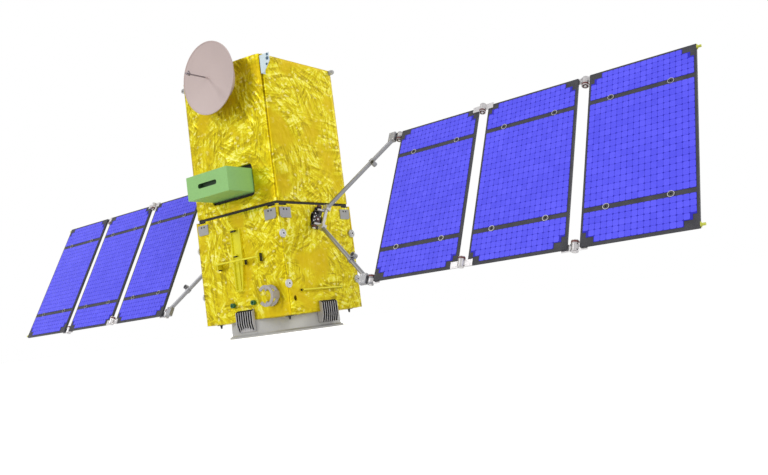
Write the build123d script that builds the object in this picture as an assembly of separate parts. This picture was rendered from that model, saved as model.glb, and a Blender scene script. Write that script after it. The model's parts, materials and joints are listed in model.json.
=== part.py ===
from build123d import *
import math
import os

# All lengths are in millimetres. The origin is the centre of the adapter ring's bottom face.
# +X runs along the wings, -Y is the face with the antenna and the camera, and +Z is up.

# Bus: a lower and an upper module with a dark joint between them
BUS_WIDTH = 1000.0
BUS_DEPTH = 938.0
LOWER_HEIGHT = 915.0
JOINT_HEIGHT = 25.0
UPPER_HEIGHT = 1248.0
UPPER_INSET = 7.0
JOINT_INSET = 18.0
WALL = 22.0
CORNER_GROOVE = 12.0
TOP_EDGE_RISE = 25.0
CORNER_NOTCH_WIDTH = 100.0
CORNER_NOTCH_HEIGHT = 14.0
VENT_RADIUS = 8.0
VENT_DEPTH = 14.0
VENT_X = 120.0
VENT_RISE = 339.0

# Adapter ring under the lower module: its wall stands a little proud of the nearer walls
RING_HEIGHT = 140.0
RING_OVERHANG = 9.0
RING_FLANGE_WIDTH = 22.0
RING_FLANGE_THICKNESS = 14.0
RING_WALL = 14.0
RING_TOP_LIP = 8.0
RING_RIB_DEPTH = 8.0
RING_RIB_WIDTH = 7.0

# Finned brackets that tie the ring to each wall
BRACKET_WIDTH = 200.0
BRACKET_RISE = 90.0
BRACKET_DROP = 92.0
BRACKET_DEPTH = 30.0
BRACKET_FOOT_DEPTH = 12.0
BRACKET_RIBS = 8
RIB_THICKNESS = 7.0
BRACKET_PLATE = 5.0

# Small gaps: round pieces of one body, faces that slide past each other, and pins in their bores
SEAT_GAP = 0.3
SIDE_GAP = 0.5
PIN_GAP = 0.05
OVERRUN = 2.0

# Corner plates near the top of the lower module
CORNER_PLATE_WIDTH = 128.0
CORNER_PLATE_HEIGHT = 88.0
CORNER_PLATE_EDGE = 20.0
CORNER_PLATE_DROP = 30.0
CORNER_PLATE_THICKNESS = 6.0
CORNER_PLATE_CHAMFER = 16.0
CORNER_HOLE_RADIUS = 8.0
CORNER_HOLE_PITCH = 34.0
CORNER_HOLE_DROP = 18.0

# Camera housing in a cutout of the upper front wall
CAMERA_WIDTH = 504.0
CAMERA_HEIGHT = 202.0
CAMERA_REACH = 272.0
CAMERA_RISE = 119.0
CAMERA_SLOT_WIDTH = 230.0
CAMERA_SLOT_HEIGHT = 40.0
CAMERA_SLOT_DEPTH = 42.0
CAMERA_EDGE_RADIUS = 5.0
CUTOUT_MARGIN_SIDE = 12.0
CUTOUT_MARGIN_BELOW = 29.0
CUTOUT_MARGIN_ABOVE = 41.0
CUTOUT_RADIUS = 30.0

# Antenna: a flat dish with a rim on a drum, and a feed rod in the dish's boss
DISH_RADIUS = 315.0
DISH_DROP = 96.0
DISH_STANDOFF = 131.0
DISH_THICKNESS = 10.0
DISH_EDGE = 5.0
DISH_RIM = 7.0
DISH_RIM_RISE = 4.0
DISH_BOSS_RADIUS = 45.0
DISH_BOSS_TIP_RADIUS = 11.0
DISH_BOSS_REACH = 70.0
DRUM_RADIUS = 190.0
DRUM_FLANGE_RADIUS = 205.0
DRUM_FLANGE = 8.0
FEED_ROD_RADIUS = 6.0
FEED_SOCKET = 40.0
FEED_REACH = 245.0
FEED_COLLAR_RADIUS = 15.0
FEED_COLLAR_LENGTH = 14.0
FEED_COLLAR_REACH = 200.0
FEED_TAB_HEIGHT = 27.0
FEED_TAB_WIDTH = 12.0
FEED_KNOB_RADIUS = 9.0
FEED_KNOB_LENGTH = 20.0

# Hold-down pads on the side walls, where the folded wings rest
HOLD_DOWN_EDGE = 24.0
PAD_RADIUS = 35.0
PAD_THICKNESS = 12.0
PAD_RING_RADIUS = 17.0
PAD_RING_HEIGHT = 6.0
PAD_BORE_RADIUS = 9.0
PAD_BOLT_RADIUS = 5.0
PAD_BOLT_HEIGHT = 4.0
PAD_BOLTS = 3
PORT_RADIUS = 22.0
PORT_EDGE = 82.0
PORT_RISE = 130.0

# Handling bars on plate feet
BAR_RADIUS = 8.0
BAR_FOOT = 10.0
BAR_FOOT_DROP = 46.0
SIDE_BAR_RISE = 193.0
SIDE_BAR_STANDOFF = 22.0
SIDE_BAR_START = -300.0
SIDE_BAR_END = 200.0
FRONT_BAR_RISE = 512.0
FRONT_BAR_STANDOFF = 46.0
FRONT_BAR_START = -262.0
FRONT_BAR_END = 264.0
END_FOOT_RISE = 32.0

# Service duct on the lower front wall: a plate with ridges that narrows towards the bottom
DUCT_LEFT_X = -72.0
DUCT_RIGHT_X = 47.0
DUCT_LOW_LEFT_X = -72.0
DUCT_LOW_RIGHT_X = 10.0
DUCT_BOTTOM_RISE = 255.0
DUCT_KNEE_RISE = 500.0
DUCT_TOP_DROP = 140.0
DUCT_PLATE = 5.0
DUCT_RIDGE = 10.0
DUCT_RIDGE_DEPTH = 18.0
DUCT_MIDDLE_X = -8.0
SHELF_X = -32.0
SHELF_WIDTH = 88.0
SHELF_HEIGHT = 10.0
SHELF_DEPTH = 40.0
STEP_X = -36.0
STEP_WIDTH = 52.0
STEP_RISE = 567.0
STEP_DEPTH = 30.0

# Umbilical bracket: two C shaped plates on the lower front wall
UMBILICAL_EDGE = 175.0
UMBILICAL_RISE = 178.0
UMBILICAL_RADIUS = 88.0
UMBILICAL_BAND = 26.0
UMBILICAL_PLATE = 10.0
UMBILICAL_NEAR = 8.0
UMBILICAL_FAR = 66.0
UMBILICAL_MOUTH_ANGLE = 80.0
UMBILICAL_BLOCK_HEIGHT = 60.0

# Service plugs on the lower front wall
PLUG_RISE = 143.0
PLUG_RADIUS = 21.0
PLUG_LENGTH = 26.0
PLUG_SOCKET_RADIUS = 9.0
PLUG_SOCKET_DEPTH = 12.0

# Lifting gusset at one top corner and round-ended lugs at the others
GUSSET_REACH = 107.0
GUSSET_DROP = 23.0
GUSSET_EDGE = 70.0
GUSSET_LENGTH = 154.0
GUSSET_FOOT = 32.0
GUSSET_SEAT = 45.0
GUSSET_THICKNESS = 6.0
LUG_REACH = 54.0
LUG_HEIGHT = 40.0
LUG_THICKNESS = 18.0
LUG_DROP = 21.0
LUG_HOLE_RADIUS = 8.0

# Thrusters and feet under the lower deck
THRUSTER_FLANGE_RADIUS = 40.0
THRUSTER_FLANGE = 6.0
THRUSTER_BODY_RADIUS = 30.0
THRUSTER_NECK_RADIUS = 13.0
THRUSTER_BODY = 42.0
THRUSTER_MOUTH_RADIUS = 20.0
THRUSTER_NOZZLE = 26.0
THRUSTER_WALL = 3.0
ATTITUDE_SCALE_SHARE = 0.8
FOOT_SIDE = 48.0
FOOT_PLATE = 8.0
FOOT_STUB_RADIUS = 12.0
FOOT_TIP_RADIUS = 6.0
FOOT_STUB = 28.0
FOOT_EDGE = 84.0

# Solar wings: the drive, the yoke and the panels on each side
WING_DROP = 128.0
WING_TILT = 28.57
WING_REACH = 785.0
PANEL_WIDTH = 745.0
PANEL_GAP = 90.0
PANEL_HALF_HEIGHT = 708.0
PANEL_COUNT = 3
SUBSTRATE_FRONT = 9.0
SUBSTRATE_BACK = -11.0
CELL_THICKNESS = 2.0
CELL_MARGIN = 16.0
STRIP_HALF_WIDTH = 19.0
NOTCH_LENGTH = 92.0
NOTCH_HEIGHT = 58.0
NOTCH_STEP_LENGTH = 40.0
NOTCH_STEP_HEIGHT = 96.0
BUSHING_INSET = 166.5
BUSHING_RADIUS = 15.0
BUSHING_FLANGE_RADIUS = 22.0
BUSHING_BORE_RADIUS = 8.0
BUSHING_FACE = 17.0
BUSHING_CLEAR_RADIUS = 28.0

# Hinges between the panels, with their pins along the panels' edges
HINGE_EDGE_INSET = 14.0
HINGE_OFFSET = 20.0
HINGE_HALF_LENGTH = 26.0
HINGE_RADIUS = 25.0
HINGE_PIN_RADIUS = 8.0
TONGUE_HALF_LENGTH = 16.0
LEAF_NEAR = 28.0
LEAF_SEAT = 45.0
LEAF_FACE = 17.0
DRUM_HINGE_RADIUS = 27.0
DRUM_HINGE_LENGTH = 24.0
DRUM_GROOVE_OUTER = 22.0
DRUM_GROOVE_INNER = 11.0
DRUM_GROOVE_DEPTH = 8.0

# Yoke between the drive and the first panel
YOKE_TUBE_RADIUS = 18.0
YOKE_ROOT_OFFSET = 60.0
YOKE_ROOT_V = 95.0
YOKE_END_INSET = 26.0
YOKE_END_DROP = 42.0
YOKE_BAR_RADIUS = 15.0
YOKE_BLOCK_LENGTH = 50.0
YOKE_BLOCK_WIDTH = 46.0
YOKE_BLOCK_HALF_HEIGHT = 24.0
YOKE_HEAD_LENGTH = 64.0
YOKE_BUSHING_FACE = 28.0
YOKE_COLLAR_RADIUS = 24.0
YOKE_COLLAR_LENGTH = 34.0
YOKE_OUTRIGGER_RADIUS = 10.0
ROOT_PIN_REACH = 30.0
ROOT_PIN_N = 35.0
ROOT_PIN_RADIUS = 6.0
ROOT_TONGUE_CENTRE = 69.0
ROOT_TONGUE_HALF = 9.0
ROOT_EAR = 9.5
ROOT_KNUCKLE_RADIUS = 12.0
ROOT_DRUM_RADIUS = 22.0
ROOT_DRUM_LENGTH = 20.0

# Drive in each side wall
DRIVE_PORT_RADIUS = 80.0
DRIVE_PORT_MARGIN = 1.0
DRIVE_POCKET_DEPTH = 105.0
DRIVE_HOUSING_INSET = 32.0
DRIVE_SHAFT_RADIUS = 32.0
DRIVE_SHAFT_CLEARANCE = 5.0
DRIVE_DISC_RADIUS = 50.0
DRIVE_DISC_CLEARANCE = 6.0
DRIVE_DISC_THICKNESS = 16.0
DRIVE_NECK_RADIUS = 36.0
CROSSBAR_STANDOFF = 6.0
CROSSBAR_THICKNESS = 7.0
CROSSBAR_LOW_N = 5.0
CROSSBAR_HIGH_N = 60.0

# Sensors at the wing tips
TIP_SENSOR_EDGE = 21.0
TIP_SENSOR_RADIUS = 9.0
TIP_SENSOR_LENGTH = 30.0
TIP_BRACKET = 14.0

# Feet along the front bar, and service plugs along the front wall's half width
FRONT_FOOT_SHARES = (0.04, 0.63, 0.98)
PLUG_SHARES = (-0.27, 0.226)
# Gusset holes: the shares of its reach and of its length, and of its edge for the radius
GUSSET_HOLE_SHARES = ((0.83, 0.09, 0.11), (0.81, 0.30, 0.17), (0.69, 0.60, 0.10))
# Thrusters under the deck: x and y as shares of the ring's wall radius
ORBIT_THRUSTER_SHARES = ((-0.73, 0.02), (0.0, 0.71))
ATTITUDE_THRUSTER_SHARES = ((-0.42, -0.08), (-0.53, 0.38), (0.16, 0.43))
# Web of a hinge half, beside the pin and at its heel: along x and along n, of the knuckle's radius
WEB_TIP_SHARES = (0.8, 0.55)
WEB_HEEL_SHARES = (0.4, 0.9)
# Lug at the yoke's root, of the radius it is tangent to
ROOT_LUG_SHARE = 0.85
# Ribs inside the ring, in degrees from each diagonal
RING_RIB_ANGLES = (-18.0, -8.0, 1.0, 10.0, 21.0)

# Half sizes and levels that follow from the sizes above
HALF_X = BUS_WIDTH / 2
HALF_Y = BUS_DEPTH / 2
UPPER_HALF_X = HALF_X - UPPER_INSET
UPPER_HALF_Y = HALF_Y - UPPER_INSET
LOWER_BASE = RING_HEIGHT
LOWER_TOP = LOWER_BASE + LOWER_HEIGHT
UPPER_BASE = LOWER_TOP + JOINT_HEIGHT
UPPER_TOP = UPPER_BASE + UPPER_HEIGHT
RING_WALL_RADIUS = min(HALF_X, HALF_Y) + RING_OVERHANG
RING_FLANGE_RADIUS = RING_WALL_RADIUS + RING_FLANGE_WIDTH
RING_LIP_RADIUS = RING_WALL_RADIUS + RING_TOP_LIP - RING_WALL / 2
BRACKET_TOP = LOWER_BASE + BRACKET_RISE
BRACKET_BOTTOM = LOWER_BASE - BRACKET_DROP
DISH_Z = UPPER_TOP - DISH_DROP
DISH_Y = -(HALF_Y + DISH_STANDOFF)
CAMERA_BASE = UPPER_BASE + CAMERA_RISE
CAMERA_FRONT = -(HALF_Y + CAMERA_REACH)
UMBILICAL_X = HALF_X - UMBILICAL_EDGE
UMBILICAL_Z = LOWER_BASE + UMBILICAL_RISE
WING_AXIS_Z = LOWER_TOP - WING_DROP
HOLD_DOWN_SPREAD = HALF_Y - HOLD_DOWN_EDGE

# Places along the wing, counted from the side wall
DRIVE_POCKET_FLOOR = HALF_X - DRIVE_POCKET_DEPTH
DRIVE_HOUSING_FACE = HALF_X - DRIVE_HOUSING_INSET
DRIVE_SHAFT_END = DRIVE_POCKET_FLOOR + DRIVE_SHAFT_CLEARANCE
DRIVE_DISC_BACK = DRIVE_HOUSING_FACE + DRIVE_DISC_CLEARANCE
DRIVE_DISC_FRONT = DRIVE_DISC_BACK + DRIVE_DISC_THICKNESS
CROSSBAR_BACK = HALF_X + CROSSBAR_STANDOFF
CROSSBAR_FRONT = CROSSBAR_BACK + CROSSBAR_THICKNESS
ROOT_PIN_X = HALF_X + ROOT_PIN_REACH
YOKE_ROOT_X = ROOT_PIN_X + YOKE_ROOT_OFFSET
PANEL_INNER_EDGE = HALF_X + WING_REACH
PANEL_PITCH = PANEL_WIDTH + PANEL_GAP
CELL_FRONT = SUBSTRATE_FRONT + CELL_THICKNESS
SUBSTRATE_MIDDLE = (SUBSTRATE_FRONT + SUBSTRATE_BACK) / 2
HINGE_XS = [PANEL_INNER_EDGE - PANEL_GAP / 2 + PANEL_PITCH * i for i in range(PANEL_COUNT)]
HINGE_SIDES = [-1 if i % 2 == 0 else 1 for i in range(PANEL_COUNT)]
HINGE_CENTRE = PANEL_HALF_HEIGHT - HINGE_EDGE_INSET
YOKE_END_X = HINGE_XS[0] - LEAF_NEAR - YOKE_END_INSET
YOKE_END_V = HINGE_CENTRE - YOKE_END_DROP
TIP_SENSOR_V = PANEL_HALF_HEIGHT - TIP_SENSOR_EDGE

# Folded wing: the bushings of yoke and panels then line up with the pads on the side wall
BUSHING_OFFSETS = (BUSHING_INSET, PANEL_WIDTH - BUSHING_INSET)
FOLDED_REACHES = [HINGE_XS[0] - ROOT_PIN_X - PANEL_GAP / 2 - offset for offset in BUSHING_OFFSETS]
YOKE_BUSHING_X = ROOT_PIN_X + FOLDED_REACHES[0]
PAD_HEIGHTS = [WING_AXIS_Z - ROOT_PIN_N - reach for reach in FOLDED_REACHES]

QUARTERS = ((1, 1), (-1, 1), (-1, -1), (1, -1))
RIGHT = "right"
LEFT = "left"
CENTRED_FROM_BASE = (Align.CENTER, Align.CENTER, Align.MIN)
tilt = math.radians(WING_TILT)
WING_PLANE = Plane(origin=(0, 0, WING_AXIS_Z), x_dir=(1, 0, 0), z_dir=(0, -math.cos(tilt), math.sin(tilt)))


# Basic shapes
def block(x_low, x_high, y_low, y_high, z_low, z_high):
    centre = Pos((x_low + x_high) / 2, (y_low + y_high) / 2, (z_low + z_high) / 2)
    return centre * Box(x_high - x_low, y_high - y_low, z_high - z_low)


def rod(start, end, radius):
    axis = Vector(*end) - Vector(*start)
    plane = Plane(origin=start, z_dir=axis)
    return plane * Cylinder(radius, axis.length, align=CENTRED_FROM_BASE)


def taper(start, end, start_radius, end_radius):
    axis = Vector(*end) - Vector(*start)
    plane = Plane(origin=start, z_dir=axis)
    return plane * Cone(start_radius, end_radius, axis.length, align=CENTRED_FROM_BASE)


def slab_along_y(outline, y_low, y_high):
    """The outline is in x and z."""
    plane = Plane(origin=(0, y_high, 0), x_dir=(1, 0, 0), z_dir=(0, -1, 0))
    return extrude(plane * outline, amount=y_high - y_low, dir=plane.z_dir)


def slab_along_x(outline, x_low, x_high):
    """The outline is in y and z."""
    plane = Plane(origin=(x_low, 0, 0), x_dir=(0, 1, 0), z_dir=(1, 0, 0))
    return extrude(plane * outline, amount=x_high - x_low, dir=plane.z_dir)


def slab_along_z(outline, z_low, z_high):
    plane = Plane(origin=(0, 0, z_low))
    return extrude(plane * outline, amount=z_high - z_low, dir=plane.z_dir)


def polygon(*points):
    return Polygon(*points, align=None)


def save(node, pieces):
    solids = [solid for piece in pieces for solid in piece.solids()]
    export_step(Compound(solids), f"parts/{node}.step")


def four_sides(make):
    """What make builds for a wall at -Y, given the wall's distance from the centre, on all walls."""
    pieces = []
    for turn, half in ((0, HALF_Y), (90, HALF_X), (180, HALF_Y), (-90, HALF_X)):
        pieces.append(Rot(0, 0, turn) * make(half))
    return pieces


# Adapter ring and its brackets
def adapter_ring():
    inner = RING_WALL_RADIUS - RING_WALL
    lip_base = RING_HEIGHT - RING_TOP_LIP
    profile = polygon(
        (inner, 0),
        (RING_FLANGE_RADIUS, 0),
        (RING_FLANGE_RADIUS, RING_FLANGE_THICKNESS),
        (RING_WALL_RADIUS + RING_WALL / 2, RING_FLANGE_THICKNESS + RING_WALL / 2),
        (RING_WALL_RADIUS, RING_FLANGE_THICKNESS + RING_WALL),
        (RING_WALL_RADIUS - RING_WALL / 4, lip_base),
        (RING_LIP_RADIUS, lip_base),
        (RING_LIP_RADIUS, RING_HEIGHT),
        (inner, RING_HEIGHT),
    )
    ring = revolve(Plane.XZ * profile, Axis.Z)
    rib_outer = inner + RING_WALL / 2
    quarter_turn = 360 / len(QUARTERS)
    for quarter in range(len(QUARTERS)):
        for offset in RING_RIB_ANGLES:
            angle = quarter_turn * (quarter + 1 / 2) + offset
            rib = block(
                inner - RING_RIB_DEPTH,
                rib_outer,
                -RING_RIB_WIDTH / 2,
                RING_RIB_WIDTH / 2,
                RING_FLANGE_THICKNESS,
                RING_HEIGHT - RING_TOP_LIP,
            )
            ring += Rot(0, 0, angle) * rib
    return [ring]


def ring_bracket(wall_half):
    """Ribs and a plate on the wall, and a saddle that follows the ring below it."""
    wall_y = -wall_half
    front_y = wall_y - BRACKET_DEPTH
    foot_y = wall_y - BRACKET_FOOT_DEPTH
    half = BRACKET_WIDTH / 2
    bore = RING_LIP_RADIUS + SEAT_GAP
    inner_y = -math.sqrt(bore**2 - half**2)
    rib_outline = polygon(
        (wall_y, BRACKET_TOP),
        (wall_y, LOWER_BASE),
        (inner_y, LOWER_BASE),
        (inner_y, BRACKET_BOTTOM),
        (foot_y, BRACKET_BOTTOM),
        (front_y, LOWER_BASE - BRACKET_DEPTH),
        (front_y, BRACKET_TOP - BRACKET_DEPTH / 2),
        (wall_y - BRACKET_PLATE, BRACKET_TOP),
    )
    bracket = block(-half, half, wall_y - BRACKET_PLATE, wall_y, LOWER_BASE, BRACKET_TOP)
    saddle = slab_along_z(Circle(bore + BRACKET_PLATE), BRACKET_BOTTOM, LOWER_BASE)
    bracket += saddle & block(-half, half, front_y, inner_y, BRACKET_BOTTOM, LOWER_BASE)
    pitch = (BRACKET_WIDTH - RIB_THICKNESS) / (BRACKET_RIBS - 1)
    for i in range(BRACKET_RIBS):
        x_low = -half + pitch * i
        bracket += slab_along_x(rib_outline, x_low, x_low + RIB_THICKNESS)
    return bracket - Cylinder(bore, LOWER_BASE, align=CENTRED_FROM_BASE)


def ring_brackets():
    return four_sides(ring_bracket)


# Lower module
def drive_cylinder(side, radius, x_low, x_high):
    return rod((side * x_low, 0, WING_AXIS_Z), (side * x_high, 0, WING_AXIS_Z), radius)


def lower_structure():
    core = block(-HALF_X + WALL, HALF_X - WALL, -HALF_Y + WALL, HALF_Y - WALL, LOWER_BASE + WALL, LOWER_TOP)
    for side in (1, -1):
        core -= drive_cylinder(side, DRIVE_PORT_RADIUS, DRIVE_POCKET_FLOOR, HALF_X)
    return [core]


def corner_notches(face_half, y_low, y_high):
    notches = []
    for side in (1, -1):
        inner = side * (face_half - CORNER_PLATE_EDGE - CORNER_NOTCH_WIDTH)
        outer = side * (face_half - CORNER_PLATE_EDGE)
        low, high = min(inner, outer), max(inner, outer)
        notches.append(block(low, high, y_low, y_high, LOWER_TOP - CORNER_NOTCH_HEIGHT, LOWER_TOP + OVERRUN))
    return notches


def lower_end_wall():
    wall = block(-HALF_X, HALF_X, -HALF_Y, -HALF_Y + WALL, LOWER_BASE, LOWER_TOP)
    for notch in corner_notches(HALF_X, -HALF_Y - OVERRUN, -HALF_Y + WALL + OVERRUN):
        wall -= notch
    return wall


def lower_front_wall():
    z = LOWER_BASE + VENT_RISE
    vent = rod((VENT_X, -HALF_Y - OVERRUN, z), (VENT_X, -HALF_Y + VENT_DEPTH, z), VENT_RADIUS)
    return lower_end_wall() - vent


def lower_side_wall():
    wall = block(HALF_X - WALL, HALF_X, -HALF_Y + WALL, HALF_Y - WALL, LOWER_BASE, LOWER_TOP)
    wall -= drive_cylinder(1, DRIVE_PORT_RADIUS, DRIVE_POCKET_FLOOR, HALF_X + OVERRUN)
    for notch in corner_notches(HALF_Y, -HALF_X - OVERRUN, -HALF_X + WALL + OVERRUN):
        wall -= Rot(0, 0, 90) * notch
    return wall


def lower_right_wall():
    y = -HALF_Y + PORT_EDGE
    z = LOWER_BASE + PORT_RISE
    port = rod((HALF_X - WALL - OVERRUN, y, z), (HALF_X + OVERRUN, y, z), PORT_RADIUS)
    return lower_side_wall() - port


def lower_deck():
    half_x = HALF_X - WALL
    half_y = HALF_Y - WALL
    return [block(-half_x, half_x, -half_y, half_y, LOWER_BASE, LOWER_BASE + WALL)]


def separation_frame():
    half_x = HALF_X - JOINT_INSET
    half_y = HALF_Y - JOINT_INSET
    return [block(-half_x, half_x, -half_y, half_y, LOWER_TOP, UPPER_BASE)]


def corner_plates():
    outer = HALF_X - CORNER_PLATE_EDGE
    inner = outer - CORNER_PLATE_WIDTH
    top = LOWER_TOP - CORNER_PLATE_DROP
    bottom = top - CORNER_PLATE_HEIGHT
    middle = (outer + inner) / 2
    plates = []
    for face_half, turn_list in ((HALF_X, (0, 180)), (HALF_Y, (90, -90))):
        wall_y = -HALF_Y if face_half == HALF_X else -HALF_X
        shift = face_half - HALF_X
        outline = polygon(
            (inner + shift, top),
            (outer + shift, top),
            (outer + shift, bottom + CORNER_PLATE_CHAMFER),
            (outer + shift - CORNER_PLATE_CHAMFER, bottom),
            (inner + shift, bottom),
        )
        plate = slab_along_y(outline, wall_y - CORNER_PLATE_THICKNESS, wall_y)
        for step in (-1, 1):
            x = middle + shift + step * CORNER_HOLE_PITCH / 2
            z = top - CORNER_HOLE_DROP
            front = wall_y - CORNER_PLATE_THICKNESS
            plate -= rod((x, front - OVERRUN, z), (x, wall_y + OVERRUN, z), CORNER_HOLE_RADIUS)
        pair = [plate, mirror(plate, about=Plane.YZ)]
        plates += [Rot(0, 0, turn) * piece for turn in turn_list for piece in pair]
    return plates


# Upper module
def upper_structure():
    half_x = UPPER_HALF_X - WALL
    half_y = UPPER_HALF_Y - WALL
    return [block(-half_x, half_x, -half_y, half_y, UPPER_BASE, UPPER_TOP - WALL)]


def bulged_wall_outline(half_width, base, top, rise):
    edge = Polyline((half_width, top), (half_width, base), (-half_width, base), (-half_width, top))
    arc = ThreePointArc((-half_width, top), (0, top + rise), (half_width, top))
    return make_face(edge + arc)


def upper_front_wall():
    outline = bulged_wall_outline(UPPER_HALF_X - CORNER_GROOVE, UPPER_BASE, UPPER_TOP, TOP_EDGE_RISE)
    wall = slab_along_y(outline, -UPPER_HALF_Y, -UPPER_HALF_Y + WALL)
    half = CAMERA_WIDTH / 2 + CUTOUT_MARGIN_SIDE
    low = CAMERA_BASE - CUTOUT_MARGIN_BELOW
    high = CAMERA_BASE + CAMERA_HEIGHT + CUTOUT_MARGIN_ABOVE
    window = Pos(0, (low + high) / 2) * RectangleRounded(2 * half, high - low, CUTOUT_RADIUS)
    return wall - slab_along_y(window, -UPPER_HALF_Y - OVERRUN, -UPPER_HALF_Y + WALL + OVERRUN)


def upper_rear_wall():
    half = UPPER_HALF_X - CORNER_GROOVE
    return block(-half, half, UPPER_HALF_Y - WALL, UPPER_HALF_Y, UPPER_BASE, UPPER_TOP)


def upper_side_wall():
    half_y = UPPER_HALF_Y - WALL
    return block(UPPER_HALF_X - WALL, UPPER_HALF_X, -half_y, half_y, UPPER_BASE, UPPER_TOP)


def top_panel():
    half_x = UPPER_HALF_X - WALL
    half_y = UPPER_HALF_Y - WALL
    return [block(-half_x, half_x, -half_y, half_y, UPPER_TOP - WALL, UPPER_TOP)]


def camera_housing():
    back = -UPPER_HALF_Y + WALL
    middle = CAMERA_BASE + CAMERA_HEIGHT / 2
    outline = Pos(0, middle) * RectangleRounded(CAMERA_WIDTH, CAMERA_HEIGHT, CAMERA_EDGE_RADIUS)
    housing = slab_along_y(outline, CAMERA_FRONT, back)
    slot = Pos(0, middle) * SlotOverall(CAMERA_SLOT_WIDTH, CAMERA_SLOT_HEIGHT)
    housing -= slab_along_y(slot, CAMERA_FRONT - OVERRUN, CAMERA_FRONT + CAMERA_SLOT_DEPTH)
    return [housing]


# Antenna
def turned(profile):
    """The profile's first value is a radius and its second is the reach from the dish towards -Y."""
    plane = Plane(origin=(0, DISH_Y, DISH_Z), x_dir=(1, 0, 0), z_dir=(0, 0, 1))
    points = [(radius, -reach) for radius, reach in profile]
    axis = Axis((0, DISH_Y, DISH_Z), (0, 1, 0))
    return revolve(plane * polygon(*points), axis)


def antenna_dish():
    face = DISH_RADIUS - DISH_RIM
    bore = FEED_ROD_RADIUS + SEAT_GAP
    socket = DISH_BOSS_REACH - FEED_SOCKET
    profile = (
        (0, -DISH_THICKNESS),
        (face, -DISH_THICKNESS),
        (DISH_RADIUS, -DISH_EDGE),
        (DISH_RADIUS, DISH_RIM_RISE),
        (face, DISH_RIM_RISE),
        (face, 0),
        (DISH_BOSS_RADIUS, 0),
        (DISH_BOSS_TIP_RADIUS, DISH_BOSS_REACH),
        (bore, DISH_BOSS_REACH),
        (bore, socket),
        (0, socket),
    )
    return [turned(profile)]


def antenna_drum():
    back = DISH_Y + DISH_THICKNESS
    drum = rod((0, back, DISH_Z), (0, -UPPER_HALF_Y, DISH_Z), DRUM_RADIUS)
    flange = rod((0, back, DISH_Z), (0, back + DRUM_FLANGE, DISH_Z), DRUM_FLANGE_RADIUS)
    return [drum + flange]


def antenna_feed():
    collar = FEED_COLLAR_REACH
    knob = FEED_REACH - FEED_KNOB_LENGTH
    profile = (
        (0, DISH_BOSS_REACH - FEED_SOCKET),
        (FEED_ROD_RADIUS, DISH_BOSS_REACH - FEED_SOCKET),
        (FEED_ROD_RADIUS, collar),
        (FEED_COLLAR_RADIUS, collar),
        (FEED_COLLAR_RADIUS, collar + FEED_COLLAR_LENGTH),
        (FEED_ROD_RADIUS, collar + FEED_COLLAR_LENGTH),
        (FEED_ROD_RADIUS, knob),
        (FEED_KNOB_RADIUS, knob),
        (FEED_KNOB_RADIUS, knob + FEED_KNOB_LENGTH / 2),
        (FEED_KNOB_RADIUS / 2, FEED_REACH),
        (0, FEED_REACH),
    )
    tab = block(
        -FEED_TAB_WIDTH / 2,
        FEED_TAB_WIDTH / 2,
        DISH_Y - collar - FEED_COLLAR_LENGTH,
        DISH_Y - collar,
        DISH_Z,
        DISH_Z + FEED_TAB_HEIGHT,
    )
    return [turned(profile) + tab]


# Small equipment on the walls
def holddown_pad(side, y, z):
    """A disc with a raised ring round its bore, and bolts round that."""
    face = HALF_X + PAD_THICKNESS
    pad = rod((side * HALF_X, y, z), (side * face, y, z), PAD_RADIUS)
    pad += rod((side * HALF_X, y, z), (side * (face + PAD_RING_HEIGHT), y, z), PAD_RING_RADIUS)
    pad -= rod((side * (HALF_X + OVERRUN), y, z), (side * (face + PAD_THICKNESS), y, z), PAD_BORE_RADIUS)
    bolt_circle = (PAD_RADIUS + PAD_RING_RADIUS) / 2
    for i in range(PAD_BOLTS):
        angle = math.radians(90 + 360 * i / PAD_BOLTS)
        bolt_y = y + bolt_circle * math.cos(angle)
        bolt_z = z + bolt_circle * math.sin(angle)
        start = (side * HALF_X, bolt_y, bolt_z)
        end = (side * (face + PAD_BOLT_HEIGHT), bolt_y, bolt_z)
        pad += rod(start, end, PAD_BOLT_RADIUS)
    return pad


def holddown_pads():
    spreads = (HOLD_DOWN_SPREAD, -HOLD_DOWN_SPREAD)
    return [holddown_pad(side, y, z) for side in (1, -1) for y in spreads for z in PAD_HEIGHTS]


def front_bar():
    """A horizontal rod on plate feet; the foot at its right end is taller."""
    wall = -HALF_Y
    z = LOWER_BASE + FRONT_BAR_RISE
    bar_y = wall - FRONT_BAR_STANDOFF
    bar = rod((FRONT_BAR_START, bar_y, z), (FRONT_BAR_END, bar_y, z), BAR_RADIUS)
    length = FRONT_BAR_END - FRONT_BAR_START
    for share in FRONT_FOOT_SHARES:
        x = FRONT_BAR_START + length * share
        rise = END_FOOT_RISE if share == FRONT_FOOT_SHARES[-1] else BAR_RADIUS
        bar += block(x - BAR_FOOT / 2, x + BAR_FOOT / 2, bar_y, wall, z - BAR_FOOT_DROP, z + rise)
    return bar


def side_bar():
    x = HALF_X + SIDE_BAR_STANDOFF
    z = LOWER_BASE + SIDE_BAR_RISE
    bar = rod((x, SIDE_BAR_START, z), (x, SIDE_BAR_END, z), BAR_RADIUS)
    for y in (SIDE_BAR_START + BAR_FOOT, SIDE_BAR_END - BAR_FOOT):
        bar += block(HALF_X, x, y - BAR_FOOT, y + BAR_FOOT, z - BAR_FOOT, z + BAR_FOOT)
    return bar


def shelf(x, z, width, depth):
    wall = -HALF_Y
    return block(x - width / 2, x + width / 2, wall - depth, wall, z - SHELF_HEIGHT, z)


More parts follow.
